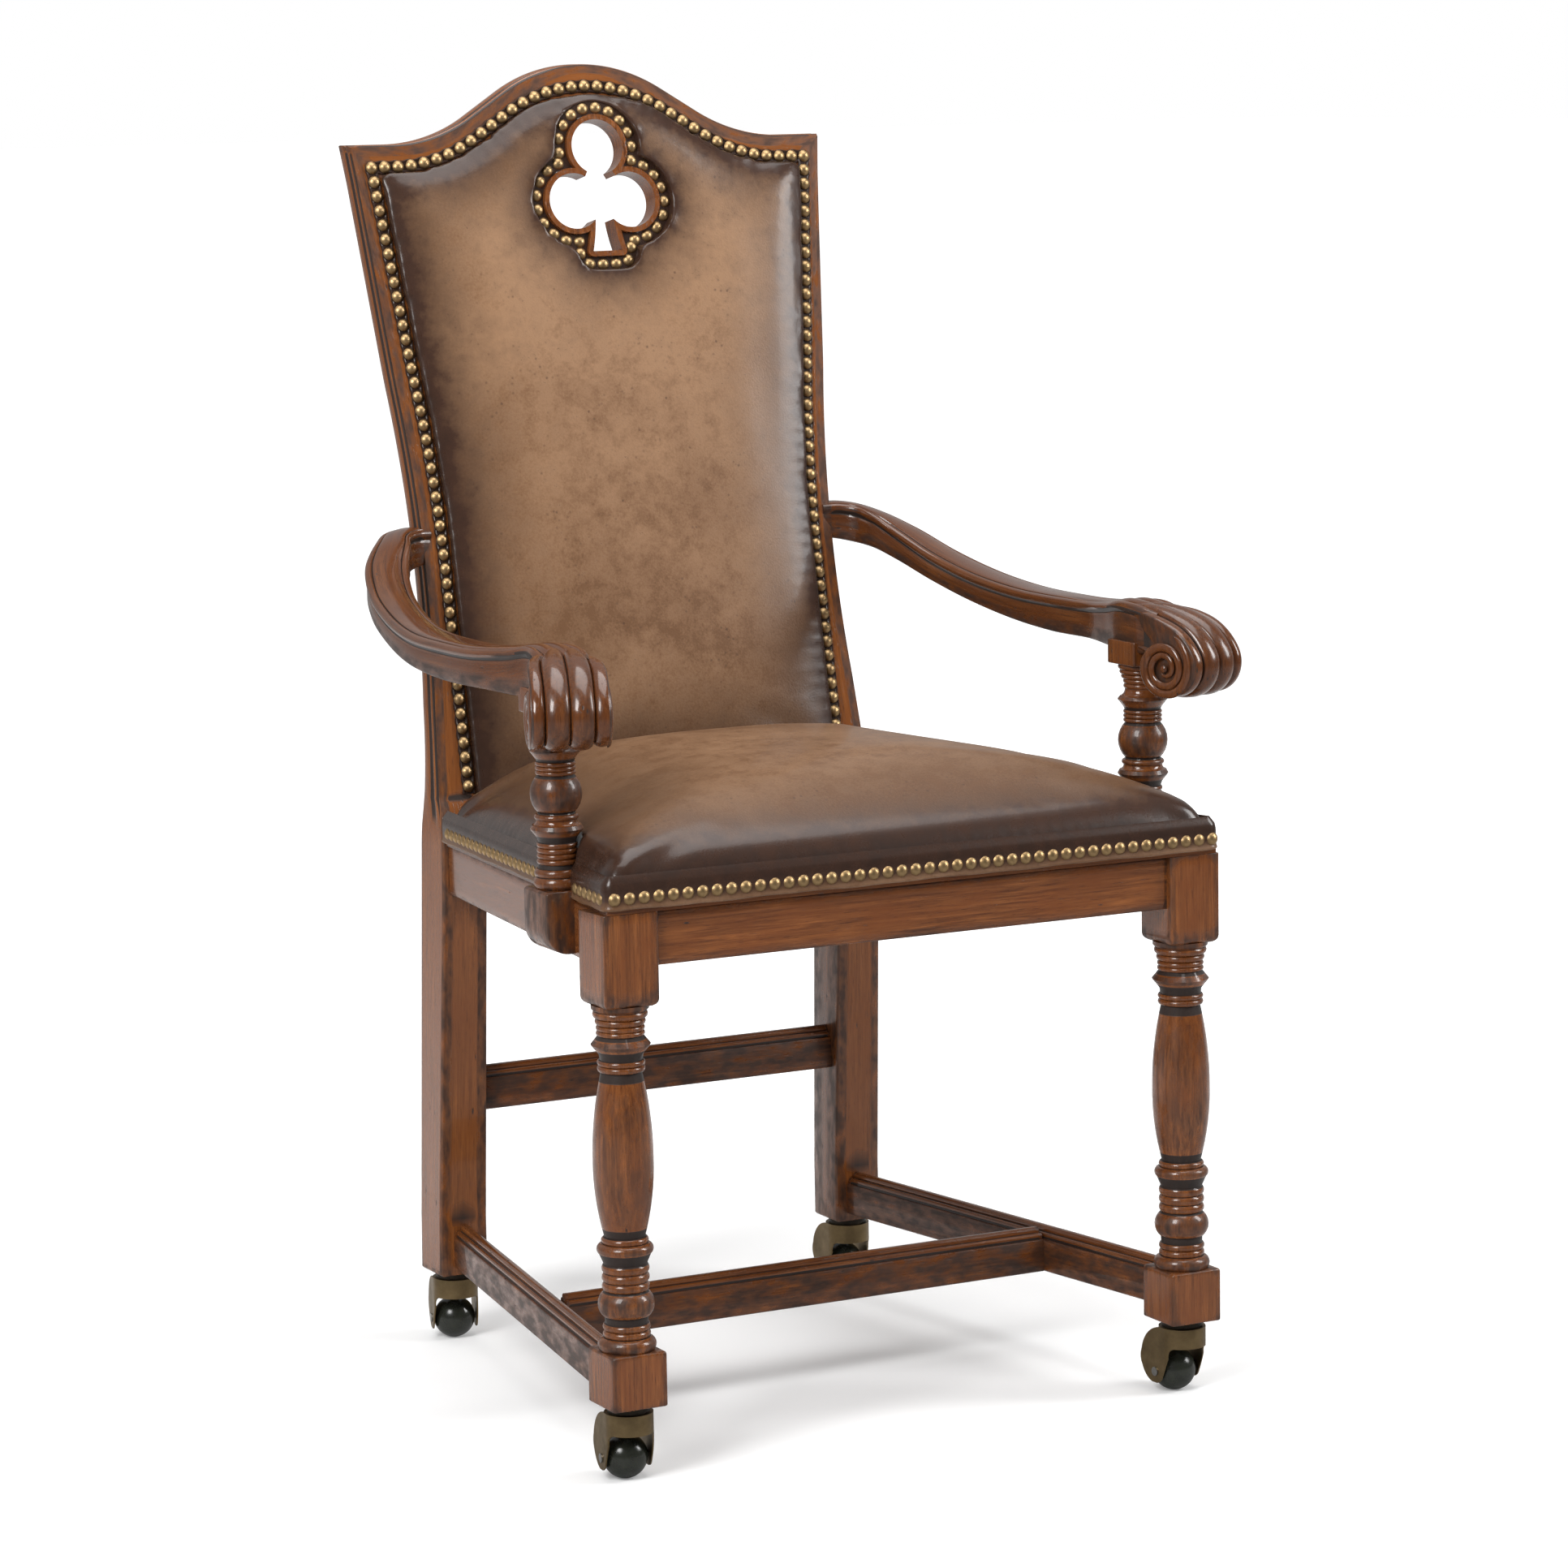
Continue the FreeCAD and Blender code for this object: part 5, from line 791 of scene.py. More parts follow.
inset_loop = block_loop[None] + block_rows[:, 1, None, None] * toward[None]
block_y = POST_Y + block_rows[:, :1] * np.ones(len(block_loop))
bracket = np.stack([inset_loop[..., 0], block_y, inset_loop[..., 1]], -1)
turned = revolved(post_profile, (POST_X, POST_Y), TURNING_SIDES)
cap = upright_block((POST_X, POST_Y), CAP_HALF, POST_HIGH, CAP_TOP, CAP_EASE, TOP_EASE, CAP_CORNER)
for side, label in SIDES:
    grids = [mirrored(grid, side) for grid in (turned, cap, bracket)]
    add_piece("%s_arm_post_turned" % label, [(g, g + side * 40.0, False) for g in grids], post_walnut,
              "%s_arm_post" % label)

# Seat cushion. Leather drawn down over a stuffed, crowned pad on the deck and nailed along a band on its
# edge; it is full in front, tucked round the arm posts and burnished dark where it turns down, with
# painted shade round the foot of each post.
DECK_HALF, DECK_TAPER, CUSHION_DEEP = 293.5, 0.1448, 484.0
seat_plane = np.array([
    (0, SEAT_FRONT_Y, SEAT_TOP), (1, 0, 0), (0, np.cos(SEAT_TURN), -np.sin(SEAT_TURN)),
    (0, np.sin(SEAT_TURN), np.cos(SEAT_TURN))])
NAIL_PITCH, SEAT_PUCKER, SEAT_BULGE, BULGE_IN, BULGE_BACK = 13.4, 0.55, 3.4, 80.0, 470.0
SEAT_HELD, POST_HELD, PUCKER_RISE, PUCKER_TOP, FRONT_RUN = (26, 20), (34, 28), (16, 21), 22, (30, 18)
BULGE_FALL, POST_CLEAR, CORNER_RUN, BURNISH_FALL, POST_SHADE_REACH = (66, 26), (40, 52), (-8, 8), (62, 22), 30
POST_WAS, POST_IS = (0, 20, 28, 36, 64, 900), (0, 19, 20.5, 26, 64, 900)
LEATHER_MID, LEATHER_PALE = (0.132, 0.064, 0.029, 1), (0.262, 0.147, 0.078, 1)
LEATHER_DARK, LEATHER_BURNISH_AND_SHADE = (0.040, 0.0190, 0.0120, 1), (0.016, 0.0085, 0.0060, 1)


def leather_group():
    """Antiqued leather: broad and fine mottling between two browns, dark flecks, a dark burnished edge and
    a pebbled grain. The edge mask, which also carries painted shade on some pieces, is broken up by the
    mottling."""
    tree, given, result = new_group("antiqued_leather", Place="Vector", Edge="Float", Pale="Float")
    place = given["Place"]
    broad = noise(tree, place, 9, 4.0, 0.6, 0.3)
    mottle = noise(tree, place, 55, 5.0, 0.68, 0.2)
    tone = plus(tree, span(tree, broad, 0.32, 0.68, 0.0, 0.6), span(tree, mottle, 0.30, 0.70, -0.25, 0.55))
    fine = noise(tree, place, 430, 3.0, 0.6)
    tone = plus(tree, tone, span(tree, fine, 0.3, 0.7, -0.2, 0.2))
    tone = plus(tree, tone, given["Pale"], True)
    base = blend(tree, tone, LEATHER_MID, LEATHER_PALE)
    spot = cell_spots(tree, place, 150)
    patch = span(tree, noise(tree, place, 38, 2.0), 0.50, 0.68)
    flecks = times(tree, span(tree, spot, 0.26, 0.08), patch)
    base = blend(tree, times(tree, flecks, 0.6), base, LEATHER_DARK)
    specks = times(tree, span(tree, fine, 0.60, 0.72), span(tree, mottle, 0.48, 0.62))
    base = blend(tree, times(tree, specks, 0.6), base, LEATHER_DARK)
    edge = plus(tree, given["Edge"], span(tree, mottle, 0.25, 0.75, -0.16, 0.16))
    # The edge mask darkens by burnishing, and by painted shade where a piece's mask carries it.
    base = blend(tree, span(tree, edge, 0.05, 0.75), base, LEATHER_DARK)
    base = blend(tree, span(tree, edge, 0.78, 1.15), base, LEATHER_BURNISH_AND_SHADE)
    rough = plus(tree, span(tree, edge, 0.1, 0.8, 0.44, 0.27), span(tree, mottle, 0.2, 0.8, -0.04, 0.06))
    pebble = cell_spots(tree, place, 620, "SMOOTH_F1")
    raised = plus(tree, times(tree, pebble, 0.5), times(tree, mottle, 0.5))
    height = times(tree, raised, span(tree, edge, 0.2, 0.9, 1.0, 0.45))
    return put_out(tree, result, base, rough, height)


LEATHER = leather_group()
POLISH = {"Specular_IOR_Level": 0.28, "Coat_Weight": 0.2, "Coat_Roughness": 0.13}


def leather(name, pale=0.0, edge=None, painted_light_by_height=None):
    """Antiqued leather by place; its burnished edge, with any painted shade the piece's shape adds to it, is
    the piece's own mask, or one value for a plain piece. Where it is painted paler higher up, as light
    falling from above, the fade gives two heights in metres and the paleness at each."""
    def inputs(tree):
        place = own_place(tree)
        mask = read_attribute(tree, "edge", "Fac") if edge is None else edge
        tone = pale
        # Painted light: paleness rising with height stands in for light from above.
        if painted_light_by_height:
            tone = span(tree, node(tree, "ShaderNodeSeparateXYZ", {0: place}).outputs["Z"], *painted_light_by_height)
        return {"Place": place, "Edge": mask, "Pale": tone}
    return finished(name, LEATHER, inputs, FINE_BUMP, **POLISH)


WELD_GAP, SWELL_STEPS, SWELL_PRESSURE, SWELL_SHARE = 0.00002, 20, 4.0, 1.15
SEAT_VOXEL, BACK_VOXEL, DRAW_IN = 0.0065, 0.0055, 0.004


def stuffed(name, source, voxel, held_by, shape, material):
    """Padded piece: a copy of the solid's mesh is remeshed evenly, smoothed and drawn in, then blown up as
    cloth by air pressure while its edges are held. The swelling is scaled to give the solid its fullness
    back, and shape then adds the puckers and the edge mask."""
    solid = in_scene(name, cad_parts[source].data.copy())
    weld = solid.modifiers.new("weld", "WELD")
    weld.merge_threshold = WELD_GAP
    even = solid.modifiers.new("even", "REMESH")
    even.mode, even.voxel_size = "VOXEL", voxel
    piece_mesh = bpy.data.meshes.new_from_object(solid.evaluated_get(bpy.context.evaluated_depsgraph_get()))
    solid.modifiers.clear()
    solid.data = piece_mesh
    piece_mesh.name = name
    piece_mesh.materials.clear()
    piece_mesh.materials.append(material)
    place, normal, ends = bare_mesh(piece_mesh)
    held = held_by(place / MM)
    free = (1 - held)[:, None]
    start = relaxed(place, ends, 0.5, 3) - DRAW_IN * free * normal
    piece_mesh.vertices.foreach_set("co", start.ravel())
    piece_mesh.update()
    settled = start + DRAW_IN * free * normal
    group = solid.vertex_groups.new(name="held")
    group.add(np.flatnonzero(held > 0.5).tolist(), 1.0, "REPLACE")
    cloth = solid.modifiers.new("swell", "CLOTH")
    cloth.settings.use_pressure = True
    cloth.settings.uniform_pressure_force = SWELL_PRESSURE
    cloth.settings.effector_weights.gravity = 0.0
    cloth.settings.vertex_group_mass = "held"
    cloth.collision_settings.use_collision = False
    cloth.point_cache.frame_end = SWELL_STEPS
    for step in range(1, SWELL_STEPS + 1):
        bpy.context.scene.frame_set(step)
    blown = bpy.data.meshes.new_from_object(solid.evaluated_get(bpy.context.evaluated_depsgraph_get()))
    swollen = np.zeros(len(start) * 3)
    blown.vertices.foreach_get("co", swollen)
    bpy.data.meshes.remove(blown)
    solid.modifiers.clear()
    bpy.context.scene.frame_set(1)
    move = swollen.reshape(-1, 3) - start
    reach = np.percentile(np.linalg.norm(move, axis=1), 90)
    settled = start + move * min(1.0, SWELL_SHARE * DRAW_IN / max(reach, 1e-6))
    settled = relaxed(settled, ends, 0.4 * free, 4)
    settled, edge = shape(settled / MM)
    piece_mesh.vertices.foreach_set("co", (settled * MM).ravel())
    mark(piece_mesh, "edge", edge)
    piece_mesh.update()
    piece_mesh.shade_smooth()
    finer = solid.modifiers.new("finer", "SUBSURF")
    finer.levels = finer.render_levels = 1
    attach(solid, FRAME_BODY)
    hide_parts(source)


def on_plane(plane, place):
    """Distances of places from a plane's origin along its three directions."""
    return (place - plane[0]) @ plane[1:].T


def decay(value, reach):
    """1 at nothing or less, falling e times over each reach."""
    return np.exp(-np.maximum(value, 0) / reach)


def nail_wave(run):
    """Wave that repeats with the pitch of the nails."""
    return np.cos(run / NAIL_PITCH * FULL_TURN)


def post_distance(place):
    """Distance in plan from the nearer arm post's axis."""
    return np.hypot(np.abs(place[:, 0]) - POST_X, place[:, 1] - POST_Y)


def hold_seat(place):
    """Held along the band and round the posts."""
    low = ramp(on_plane(seat_plane, place)[:, 2], *SEAT_HELD)
    return np.maximum(low, ramp(post_distance(place), *POST_HELD))


def shape_seat(place):
    """Puckers over the nails, fading up from the band, the leather drawn in snugly to the arm posts, and
    the burnished mask of the sides and rear, with painted shade round the foot of each post."""
    across, back, up = on_plane(seat_plane, place).T
    at_front = ramp(back, *FRONT_RUN)
    waves = at_front * nail_wave(across) + (1 - at_front) * nail_wave(back)
    ripple = SEAT_PUCKER * decay(up - PUCKER_TOP, 9) * ramp(up, *PUCKER_RISE) * waves
    away = post_distance(place)
    bulge = SEAT_BULGE * ramp(up, *BULGE_FALL) * ramp(away, *POST_CLEAR)
    side_edge = DECK_HALF - DECK_TAPER * back - np.abs(across)
    bulge *= decay(np.minimum(np.minimum(back, side_edge), BULGE_IN), 14)
    near_front = ramp(side_edge - back, *CORNER_RUN)
    moved = place.copy()
    snug = (np.interp(away, POST_WAS, POST_IS) / np.maximum(away, 1e-3))[:, None]
    post = np.stack([np.sign(across) * POST_X, np.full(len(across), POST_Y)], 1)
    moved[:, :2] = post + (moved[:, :2] - post) * snug
    moved[:, 1] -= at_front * ripple + near_front * bulge
    side_bulge = (1 - near_front) * bulge * (back < BULGE_BACK)
    moved[:, 0] += np.sign(across) * ((1 - at_front) * ripple + side_bulge)
    rim = np.minimum(np.minimum(np.maximum(back, 0), side_edge), 1.7 * (CUSHION_DEEP - back))
    edge = np.minimum(1.15 * decay(rim, 42), 1)
    edge = np.maximum(edge, np.minimum(ramp(up, *BURNISH_FALL), 0.95))
    # Painted shade: the mask is darkened round the foot of each arm post.
    return moved, np.maximum(edge, 0.9 * decay(away - POST_SHADE_REACH, 14))


stuffed("seat_cushion_leather", "seat_cushion", SEAT_VOXEL, hold_seat, shape_seat,
        leather("seat_leather", -0.12))

# Band and nails of the seat. The cover is drawn down over the band on the deck's edge to a tan hem, with
# brass-headed nails driven through both into the deck, all along the front and sides but for the arm posts.
HEM_LOW, HEM_RUN, BAND_RUN, END_BURNISH = 3.4, (9, 5), 482.0, (0.5, 0.5)
skirt_section = drawn([
    (0.4, HEM_LOW), (3.3, HEM_LOW), (4.2, 4.3, 4.0, 6.2), (3.5, 9.0), (3.45, 12.0), (3.5, 16.0),
    (3.35, 21.5, 2.3, 26.5), (-2.0, 32.0), (-4.0, 25.0), (-1.0, 14.0)], 6)


def beside(line):
    """Direction to the left of a line at each of its points."""
    ahead = np.gradient(line, axis=0)
    return np.stack([-ahead[:, 1], ahead[:, 0]], 1) / np.linalg.norm(ahead, axis=1)[:, None]


half_edge = drawn([(DECK_HALF - DECK_TAPER * BAND_RUN, BAND_RUN), (DECK_HALF - 1.0, 7.0),
                   (DECK_HALF - 2.4, 2.2, DECK_HALF - 8.0, 0.0), (0.0, 0.0)], 8)
deck_edge, edge_run = spaced(np.concatenate([half_edge, half_edge[-2::-1] * np.array([-1, 1])]), 800)
facing = beside(deck_edge)
facing *= -np.sign(facing[len(facing) // 2, 1])
out, rise = skirt_section[None, :, 0], skirt_section[None, :, 1]
uneven = 0.35 * np.sin(edge_run / 23.0) + 0.25 * np.sin(edge_run / 9.1)
lifted = rise + uneven[:, None] * ramp(rise, *HEM_RUN)
flat = deck_edge[:, None] + out[..., None] * facing[:, None]
skirt = off_plane(seat_plane, flat[..., 0], flat[..., 1], lifted)
band = add_piece("seat_band_leather", [(skirt, skirt, False)], leather("band_leather", -0.2), "seat_band",
                 70)
burnish = np.interp(np.broadcast_to(rise, skirt.shape[:2]), (4, 8, 13, 20), (0.22, 0.35, 0.75, 0.93)).ravel()
mark(band.data, "edge", np.concatenate([burnish, END_BURNISH]))


BRASS_BROWN, BRASS_BRIGHT = (0.070, 0.040, 0.017, 1), (0.50, 0.335, 0.165, 1)


def brass_group():
    """Antiqued brass: bright on what faces out, brown lacquer toward the rim, with small clouds of
    tarnish."""
    tree, given, result = new_group("antiqued_brass", Place="Vector", Facing="Float")
    tarnish = noise(tree, given["Place"], 240, 3.0, 0.6)
    clear = times(tree, span(tree, given["Facing"], 0.25, 0.92), span(tree, tarnish, 0.2, 0.6, 0.7, 1.0))
    color = blend(tree, clear, BRASS_BROWN, BRASS_BRIGHT)
    rough = span(tree, clear, 0, 1, 0.50, 0.40)
    return put_out(tree, result, color, rough, noise(tree, given["Place"], 900, 2.0))


BRASS = brass_group()


def nail_brass(name, *axes):
    """Brass for nail heads that face along one of several directions: the rim is where the surface turns
    away."""
    def inputs(tree):
        normal = node(tree, "ShaderNodeNewGeometry").outputs["Normal"]
        facing = 0.0
        for axis in axes:
            toward = node(tree, "ShaderNodeVectorMath", {0: normal, 1: axis}, operation="DOT_PRODUCT")
            facing = larger(tree, toward.outputs["Value"], facing)
        return {"Place": own_place(tree), "Facing": facing}
    return finished(name, BRASS, inputs, 0.00004, Metallic=1.0)


dress(nail_brass("seat_nail_brass", (0, -1, 0), (0.99, 0.14, 0), (-0.99, 0.14, 0)), "seat_nails")

# Back pad. Leather over stuffing on the back board, nailed along a border and round the club opening, so
# that it rolls down to both; mottled tan over the middle and burnished dark at its edges. It is painted
# paler higher up, as light from above, and darker at its foot, as painted shade where it meets the seat.
BACK_RISE = 1 / np.cos(BACK_TURN)
back_plane = np.array([
    (0, BACK_Y, KNEE_TOP), (1, 0, 0), (0, np.sin(BACK_TURN), np.cos(BACK_TURN)),
    (0, -np.cos(BACK_TURN), np.sin(BACK_TURN))])
PAD_LOW_X, PAD_HIGH_X, PAD_TOP_X = 191.7, 203.8, 223.1
PAD_FOOT_Z, PAD_WAIST_Z, PAD_FLARE_Z, PAD_TOP_Z = 509.0, 704.0, 896.0, 1081.0
PAD_RIM_WAS, PAD_RIM_IS = (0, 10.5, 42, 500), (6.2, 6.2, 42, 500)
PAD_RING_WAS, PAD_RING_IS = (0, 16, 21, 46, 800), (16.5, 17.4, 17.6, 46, 800)
CLUB_REACH, CLUB_MID_Z, CLUB_FOOT_Z = 26.0, 1060.0, 996.5
STRIP_HELD, STRIP_EDGE, RING_HELD, RING_EDGE, BACK_PUCKER = 6.9, 6.5, 17.9, 17.5, 0.6
TUCK_LOW_Z, TUCK_HIGH_Z, TUCK_DOWN = 520.0, 560.0, 16.0


def up_back(z):
    """Distance up the slope of the back: the height above the knee over the cosine of the rake."""
    return (z - KNEE_TOP) * BACK_RISE


def border_line(foot=0.0):
    """Edge of the pad in the plane of the back, up the right side, over the crest's curve and down the
    left."""
    top, low, high = up_back(PAD_TOP_Z), up_back(PAD_WAIST_Z), up_back(PAD_FLARE_Z)
    line = drawn([
        (PAD_LOW_X, up_back(PAD_FOOT_Z) + foot), (PAD_LOW_X, low),
        (PAD_LOW_X + 0.27 * (PAD_HIGH_X - PAD_LOW_X), low + 0.54 * (high - low), PAD_HIGH_X, high),
        (PAD_TOP_X, top), (199.7, top), (157.5, top + 5.9 * BACK_RISE, 118.5, top + 23.1 * BACK_RISE),
        (80.6, top + 46.6 * BACK_RISE), (41.3, top + 63.9 * BACK_RISE, 0.0, top + 69.6 * BACK_RISE)], 24)
    return np.concatenate([line, line[-2::-1] * np.array([-1, 1])])


border, border_run = spaced(border_line(), 700)
club_spots = np.array([
    (0, up_back(CLUB_TOP_Z)), (-CLUB_SIDE_X, up_back(CLUB_SIDE_Z)), (CLUB_SIDE_X, up_back(CLUB_SIDE_Z)),
    (0, up_back(CLUB_MID_Z))])


def club_distance(flat):
    """Distance outside the club's outline: to the nearest of its round lobes or to its flared stem."""
    lobes = np.linalg.norm(flat[:, None] - club_spots[None], axis=2).min(1) - CLUB_REACH
    foot, neck = up_back(CLUB_FOOT_Z), up_back(CLUB_SIDE_Z)
    half_stem = np.interp(flat[:, 1], (foot, neck), (14.8, 8.5))
    outside, below = np.abs(flat[:, 0]) - half_stem, foot - flat[:, 1]
    stem = np.where((outside > 0) & (below > 0), np.hypot(outside, below), np.maximum(outside, below))
    return np.minimum(lobes, np.where(flat[:, 1] < neck, stem, 1e3))


def border_distance(flat):
    """Distance to the border from each place in the plane of the back, how far along it the nearest point
    is, and the direction away from it."""
    apart = np.linalg.norm(flat[:, None].astype(np.float32) - border[None].astype(np.float32), axis=2)
    nearest = apart.argmin(1)
    reach = apart[np.arange(len(flat)), nearest]
    return reach, border_run[nearest], (flat - border[nearest]) / np.maximum(reach, 1e-3)[:, None]


def hold_back(place):
    """Held behind, along the border and round the club."""
    flat = on_plane(back_plane, place)
    rim = np.minimum(border_distance(flat[:, :2])[0] - STRIP_HELD, club_distance(flat[:, :2]) - RING_HELD)
    return np.maximum(ramp(rim, 5, 1), ramp(flat[:, 2], 3, 1))


def shape_back(place):
    """The side walls are drawn out to the strip and to the club's ring, by carrying each place near them
    from its distance to a new one; then the puckers at the nails of the border, and the burnished mask
    along the border and the club, with painted shade at the foot. The bottom is drawn down behind the seat."""
    flat = on_plane(back_plane, place)
    rim, reach, away = border_distance(flat[:, :2])
    flat[:, :2] += (np.interp(rim, PAD_RIM_WAS, PAD_RIM_IS) - rim)[:, None] * away
    club = club_distance(flat[:, :2])
    step = np.stack([club_distance(flat[:, :2] + np.array([0.5, 0])) - club,
                     club_distance(flat[:, :2] + np.array([0, 0.5])) - club], 1)
    step /= np.maximum(np.linalg.norm(step, axis=1), 1e-3)[:, None]
    flat[:, :2] += (np.interp(club, PAD_RING_WAS, PAD_RING_IS) - club)[:, None] * step
    tuck_low, tuck_high = up_back(TUCK_LOW_Z), up_back(TUCK_HIGH_Z)
    low_end = np.clip((tuck_high - flat[:, 1]) / (tuck_high - tuck_low), 0, 1.2)
    flat[:, 1] -= TUCK_DOWN * low_end
    club = np.maximum(club - RING_EDGE, 0)
    rim = np.maximum(rim - STRIP_EDGE, 0)
    ripple = nail_wave(reach) * decay(rim, 9) * ramp(rim, 0, 3)
    flat[:, 2] += BACK_PUCKER * ripple * ramp(flat[:, 2], 4, 10)
    # Painted shade: the pad is darkened at its foot, where it tucks down behind the seat.
    low = np.exp(-((flat[:, 1] - tuck_low) / 60) ** 2)
    edge = np.maximum(np.exp(-(rim / 40) ** 1.1), 0.85 * np.exp(-(club / 26) ** 1.1))
    return off_plane(back_plane, *flat.T), np.clip(np.maximum(edge, 0.6 * low), 0, 1)


# The back is painted paler higher up, as light falling from above.
stuffed("back_pad_leather", "back_pad", BACK_VOXEL, hold_back, shape_back,
        leather("back_leather", painted_light_by_height=(0.62, 0.98, -0.1, 0.55)))

# Border of the back. A dark gimp strip with scalloped edges, nailed over the leather's edge with
# brass-headed nails at an even pitch, and a second ring of them round the club opening.
GIMP_HALF, GIMP_THICK, GIMP_LIFT, SCALLOP = 6.5, 2.0, 0.05, 0.07
gimp_line, gimp_run = spaced(border_line(GIMP_HALF), 1500)
sideways = beside(gimp_line)
wave = nail_wave(gimp_run)[:, None]
gimp_section = np.array([
    (-1, 0), (-1, 0.45), (-0.9, 0.85), (-0.72, 0.8), (-0.6, 0.45), (0, 0.4), (0.6, 0.45),
    (0.72, 0.8), (0.9, 0.85), (1, 0.45), (1, 0)])
across = gimp_section[None, :, 0] * GIMP_HALF * (1 - SCALLOP + SCALLOP * wave)
out = gimp_section[None, :, 1] * GIMP_THICK * np.ones_like(wave) + GIMP_LIFT
flat = gimp_line[:, None] + across[..., None] * sideways[:, None]
gimp = off_plane(back_plane, flat[..., 0], flat[..., 1], out)
gimp_dark = leather("gimp_leather", -0.6, 0.95)
add_piece("back_border_gimp", [(gimp, gimp, False)], gimp_dark, "back_border_strip")
dress(gimp_dark, "club_ring")
outward = tuple(back_plane[3].tolist())
dress(nail_brass("back_nail_brass", outward), "back_nails", "club_nails")
dress(walnut_on_cad("club_liner_walnut", (0, 0, 0)), "club_liner")

# Outside back. A leather panel stretched over the back between the stiles and cut away round the club,
# above it a lip left in the crest rail to hold the liner.
COVER_LOW, COVER_HIGH, COVER_FRONT, COVER_THICK, COVER_PUFF = 604.6, 1078.0, -27.05, 2.4, 3.5
CLUB_MIDDLE, COVER_CLEAR, LIP_NEAR, LIP_FAR, LIP_FRONT, LIP_BACK = 1062.0, 17.0, 5.8, 19.0, -0.4, -8.0


def round_club(distance, angle):
    """Line at a distance outside the club's outline, along rays from its middle: each ray is halved again
    and again until the outline's distance is met. The angle is measured from straight up."""
    middle = np.array([0.0, up_back(CLUB_MIDDLE)])
    ray = np.stack([np.sin(angle), np.cos(angle)], 1)
    near, far = np.zeros(len(angle)), np.full(len(angle), 140.0)
    for _ in range(30):
        reach = (near + far) / 2
        inside = club_distance(middle + reach[:, None] * ray) < distance
        near, far = np.where(inside, reach, near), np.where(inside, far, reach)
    return middle + near[:, None] * ray


club_side = round_club(COVER_CLEAR, np.radians(np.linspace(180, 20, 200)))
club_side = club_side[club_side[:, 1] < up_back(COVER_HIGH)]
club_side = np.concatenate([club_side, [[club_side[-1, 0], up_back(COVER_HIGH)]]])
cover_level = np.linspace(COVER_LOW, COVER_HIGH, 60)
cover_x = np.interp(cover_level, leg_inner[:, 1], leg_inner[:, 0]) - 0.8
cover_side = np.stack([cover_x, up_back(cover_level)], 1)
cover_side[-1, 0] = cover_side[-2, 0]
cover_side = np.concatenate([[[0.0, up_back(COVER_LOW)]], cover_side])
near_club = spaced(np.concatenate([club_side[::-1] * np.array([-1, 1]), club_side[1:]]), 260)[0]
far_edge = spaced(np.concatenate([cover_side[:0:-1] * np.array([-1, 1]), cover_side]), 260)[0]
share = np.concatenate([np.linspace(0, 1, 9), [1.0], 1 - np.linspace(0, 1, 25), [0.0]])
swell = 1 - np.abs(2 * share - 1) ** 6
behind = np.concatenate([np.zeros(9), [0.5], np.ones(25), [0.5]])
out = COVER_FRONT - behind * COVER_THICK - (behind == 1) * swell * COVER_PUFF
flat = near_club[:, None] + share[None, :, None] * (far_edge - near_club)[:, None]
cover = off_plane(back_plane, flat[..., 0], flat[..., 1], out[None])
panel = add_piece("back_cover_leather", [(cover, cover, False)], leather("outside_back_leather", -0.1),
                  "back_cover", 60)
length = np.linalg.norm(far_edge - near_club, axis=1)[:, None]
burnish = 0.9 * np.exp(-np.minimum(share, 1 - share)[None] * length / 16)
mark(panel.data, "edge", np.concatenate([burnish.ravel(), END_BURNISH]))
turned = np.radians(np.linspace(-86, 86, 90))
lip_near, lip_far = round_club(LIP_NEAR, turned), round_club(LIP_FAR, turned)
lip_flat = np.stack([lip_near, lip_far, lip_far, lip_near], 1)
lip_out = np.array([LIP_FRONT, LIP_FRONT, LIP_BACK, LIP_BACK])[None]
lip = off_plane(back_plane, lip_flat[..., 0], lip_flat[..., 1], lip_out)
add_piece("crest_lip", [(lip, lip, False)], walnut("crest_lip_walnut", 0.3))

# Casters. A ball of dark resin turns on an axle in a hood of bent brass plate, which swivels on a stem in a
# dark collar under each leg; screws in the seat frame are plain steel.
def metal(name, color, rough, scale):
    """Plain metal: its colour and roughness clouded a little by tarnish."""
    tree, given, result = new_group(name + "_tarnish", Place="Vector")
    cloud = noise(tree, given["Place"], scale, 4.0, 0.6)
    dark = tuple(0.62 * part for part in color[:3]) + (1,)
    clouded = blend(tree, span(tree, cloud, 0.3, 0.7), dark, color)
    uneven_rough = span(tree, cloud, 0.3, 0.7, rough + 0.08, rough - 0.05)
    return put_out(tree, result, clouded, uneven_rough, noise(tree, given["Place"], 1400, 2.0))


def by_place(tree):
    """The place alone, for a group that needs nothing else."""
    return {"Place": own_place(tree)}


def plain(name, group, color, rough, scale, bump=0.00002, **constants):
    """Plain metal or resin on a solid, by place."""
    return finished(name, metal(group, color + (1,), rough, scale), by_place, bump, **constants)


hood_brass = plain("hood_brass", "hood", (0.225, 0.158, 0.078), 0.40, 60, Metallic=0.9)
steel = plain("bright_steel", "steel", (0.42, 0.41, 0.39), 0.3, 90, Metallic=1.0)
collar = plain("dark_collar", "collar", (0.035, 0.028, 0.02), 0.42, 90, Metallic=0.8)
resin = plain("ball_resin", "resin", (0.020, 0.022, 0.016), 0.2, 120, 0.00003)
for corner in ("front_left", "front_right", "rear_left", "rear_right"):
    dress(hood_brass, corner + "_caster_hood")
    dress(steel, corner + "_caster_axle", corner + "_caster_stem")
    dress(resin, corner + "_caster_ball")
dress(collar, "caster_sockets")
dress(steel, "deck_screws", "post_screws")

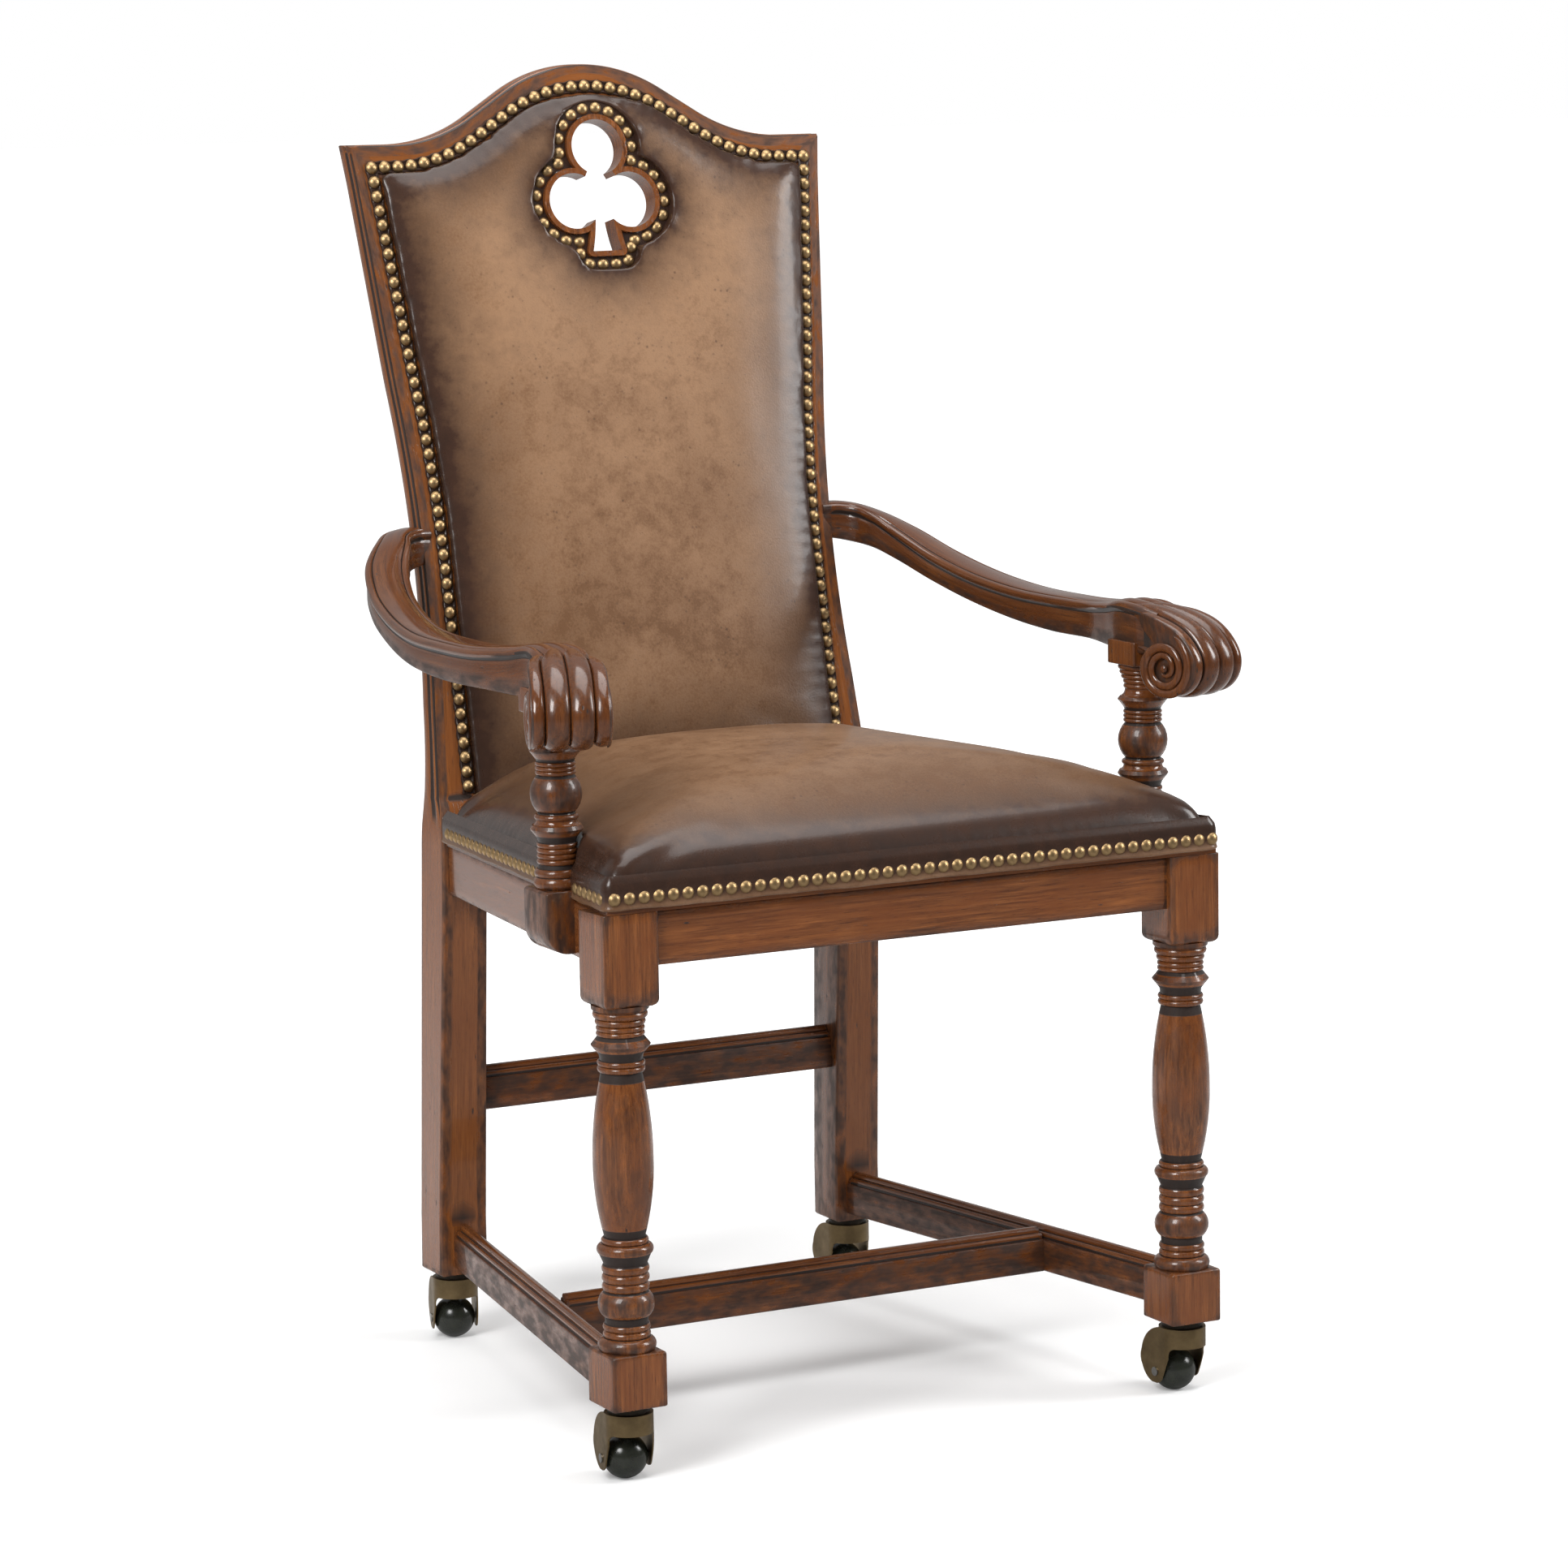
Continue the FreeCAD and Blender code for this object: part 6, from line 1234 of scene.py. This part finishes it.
# Floor, light and camera: a pale floor that glows to the camera alone, more the further it lies from the
# chair, and is painted darker in reflections in front of it; soft boxes high on both sides, and the place
# the picture was taken from.
FLOOR_GLOW, FILL_LIGHT, FILL_GLOSS, BACKDROP_GLOSS = 0.16, 0.38, 0.09, 0.42
FLOOR_PALE = (0.86, 0.86, 0.86, 1)
mesh = bpy.data.meshes.new("floor")
mesh.from_pydata([(-40, -40, 0), (40, -40, 0), (40, 60, 0), (-40, 60, 0)], [], [(0, 1, 2, 3)])
floor = in_scene("floor", mesh)
pale = bpy.data.materials.new("pale_floor")
pale.use_nodes = True
tree = pale.node_tree
shader = tree.nodes["Principled BSDF"]
shader.inputs["Roughness"].default_value = 0.75
shader.inputs["Specular IOR Level"].default_value = 0.2
shader.inputs["Emission Color"].default_value = (1, 1, 1, 1)
place = own_place(tree)
reach = node(tree, "ShaderNodeVectorMath", {0: place}, operation="LENGTH")
path = node(tree, "ShaderNodeLightPath").outputs
seen = path["Is Camera Ray"]
# Painted reflection: glossy rays see the floor darker, the more so toward the front.
before = span(tree, node(tree, "ShaderNodeSeparateXYZ", {0: place}).outputs["Y"], 0.6, -0.5, 0.1, 0.7)
floor_dimmed_in_reflections = blend(tree, times(tree, before, path["Is Glossy Ray"]), FLOOR_PALE, (0, 0, 0, 1))
tree.links.new(floor_dimmed_in_reflections, shader.inputs["Base Color"])
# Painted light: the floor glows to the camera alone, the more the further it lies from the chair.
glow = span(tree, reach.outputs["Value"], 0.45, 2.4, FLOOR_GLOW, 0.85)
tree.links.new(times(tree, seen, glow), shader.inputs["Emission Strength"])
mesh.materials.append(pale)
world = bpy.data.worlds.new("studio")
bpy.context.scene.world = world
world.use_nodes = True
tree = world.node_tree
path = node(tree, "ShaderNodeLightPath").outputs
from_behind = node(tree, "ShaderNodeSeparateXYZ", {
    0: node(tree, "ShaderNodeNewGeometry").outputs["Incoming"]}).outputs["Y"]
gloss = span(tree, from_behind, 0.05, -0.40, FILL_GLOSS, BACKDROP_GLOSS)
strength = node(tree, "ShaderNodeMix", {0: path["Is Glossy Ray"], 2: FILL_LIGHT, 3: gloss}).outputs[0]
backdrop = tree.nodes["Background"].inputs
tree.links.new(larger(tree, strength, path["Is Camera Ray"]), backdrop["Strength"])
backdrop["Color"].default_value = (1, 1, 1, 1)


def stand(name, data, right, up, back, place):
    """Object with its x, y and z axes along three directions, at a place."""
    made = in_scene(name, data)
    axes = np.eye(4)
    axes[:3] = np.stack([right, up, back, place], 1)
    made.matrix_world = axes.T.tolist()
    return made


def soft_box(name, place, aim, width, height, power):
    """Rectangular light at a place, turned so that its -z axis points at its aim."""
    light = bpy.data.lights.new(name, "AREA")
    light.shape, light.size, light.size_y, light.energy = "RECTANGLE", width, height, power
    back = np.array(place, float) - np.array(aim, float)
    back /= np.linalg.norm(back)
    right = np.cross((0, 0, 1.0), back)
    right /= np.linalg.norm(right)
    stand(name, light, right, np.cross(back, right), back, place)


soft_box("left_box", (-2.6, -1.6, 2.5), (0, 0, 0.6), 1.2, 1.8, 110)
soft_box("right_box", (2.6, -1.5, 2.0), (0, 0, 0.6), 0.9, 1.6, 60)
soft_box("top_box", (0.2, -0.2, 3.4), (0, 0, 0.5), 2.4, 2.4, 70)

AZIMUTH, PITCH, ROLL = np.radians((-27.55, 8.4, -0.95))
CAMERA_AT, SENSOR, LENS = (-2.0215, -3.9549, 1.1847), 36.0, 114.70
camera_data = bpy.data.cameras.new("camera")
camera_data.sensor_width, camera_data.lens = SENSOR, LENS
away = np.array([np.sin(AZIMUTH), -np.cos(AZIMUTH), 0])
level_right = np.array([np.cos(AZIMUTH), np.sin(AZIMUTH), 0])
upright = np.array([0, 0, 1.0])
look_up = upright * np.cos(PITCH) - away * np.sin(PITCH)
look_back = away * np.cos(PITCH) + upright * np.sin(PITCH)
bpy.context.scene.camera = stand(
    "camera", camera_data, level_right * np.cos(ROLL) + look_up * np.sin(ROLL),
    look_up * np.cos(ROLL) - level_right * np.sin(ROLL), look_back, CAMERA_AT)
bpy.context.scene.view_settings.view_transform = "Standard"

bpy.context.view_layer.update()
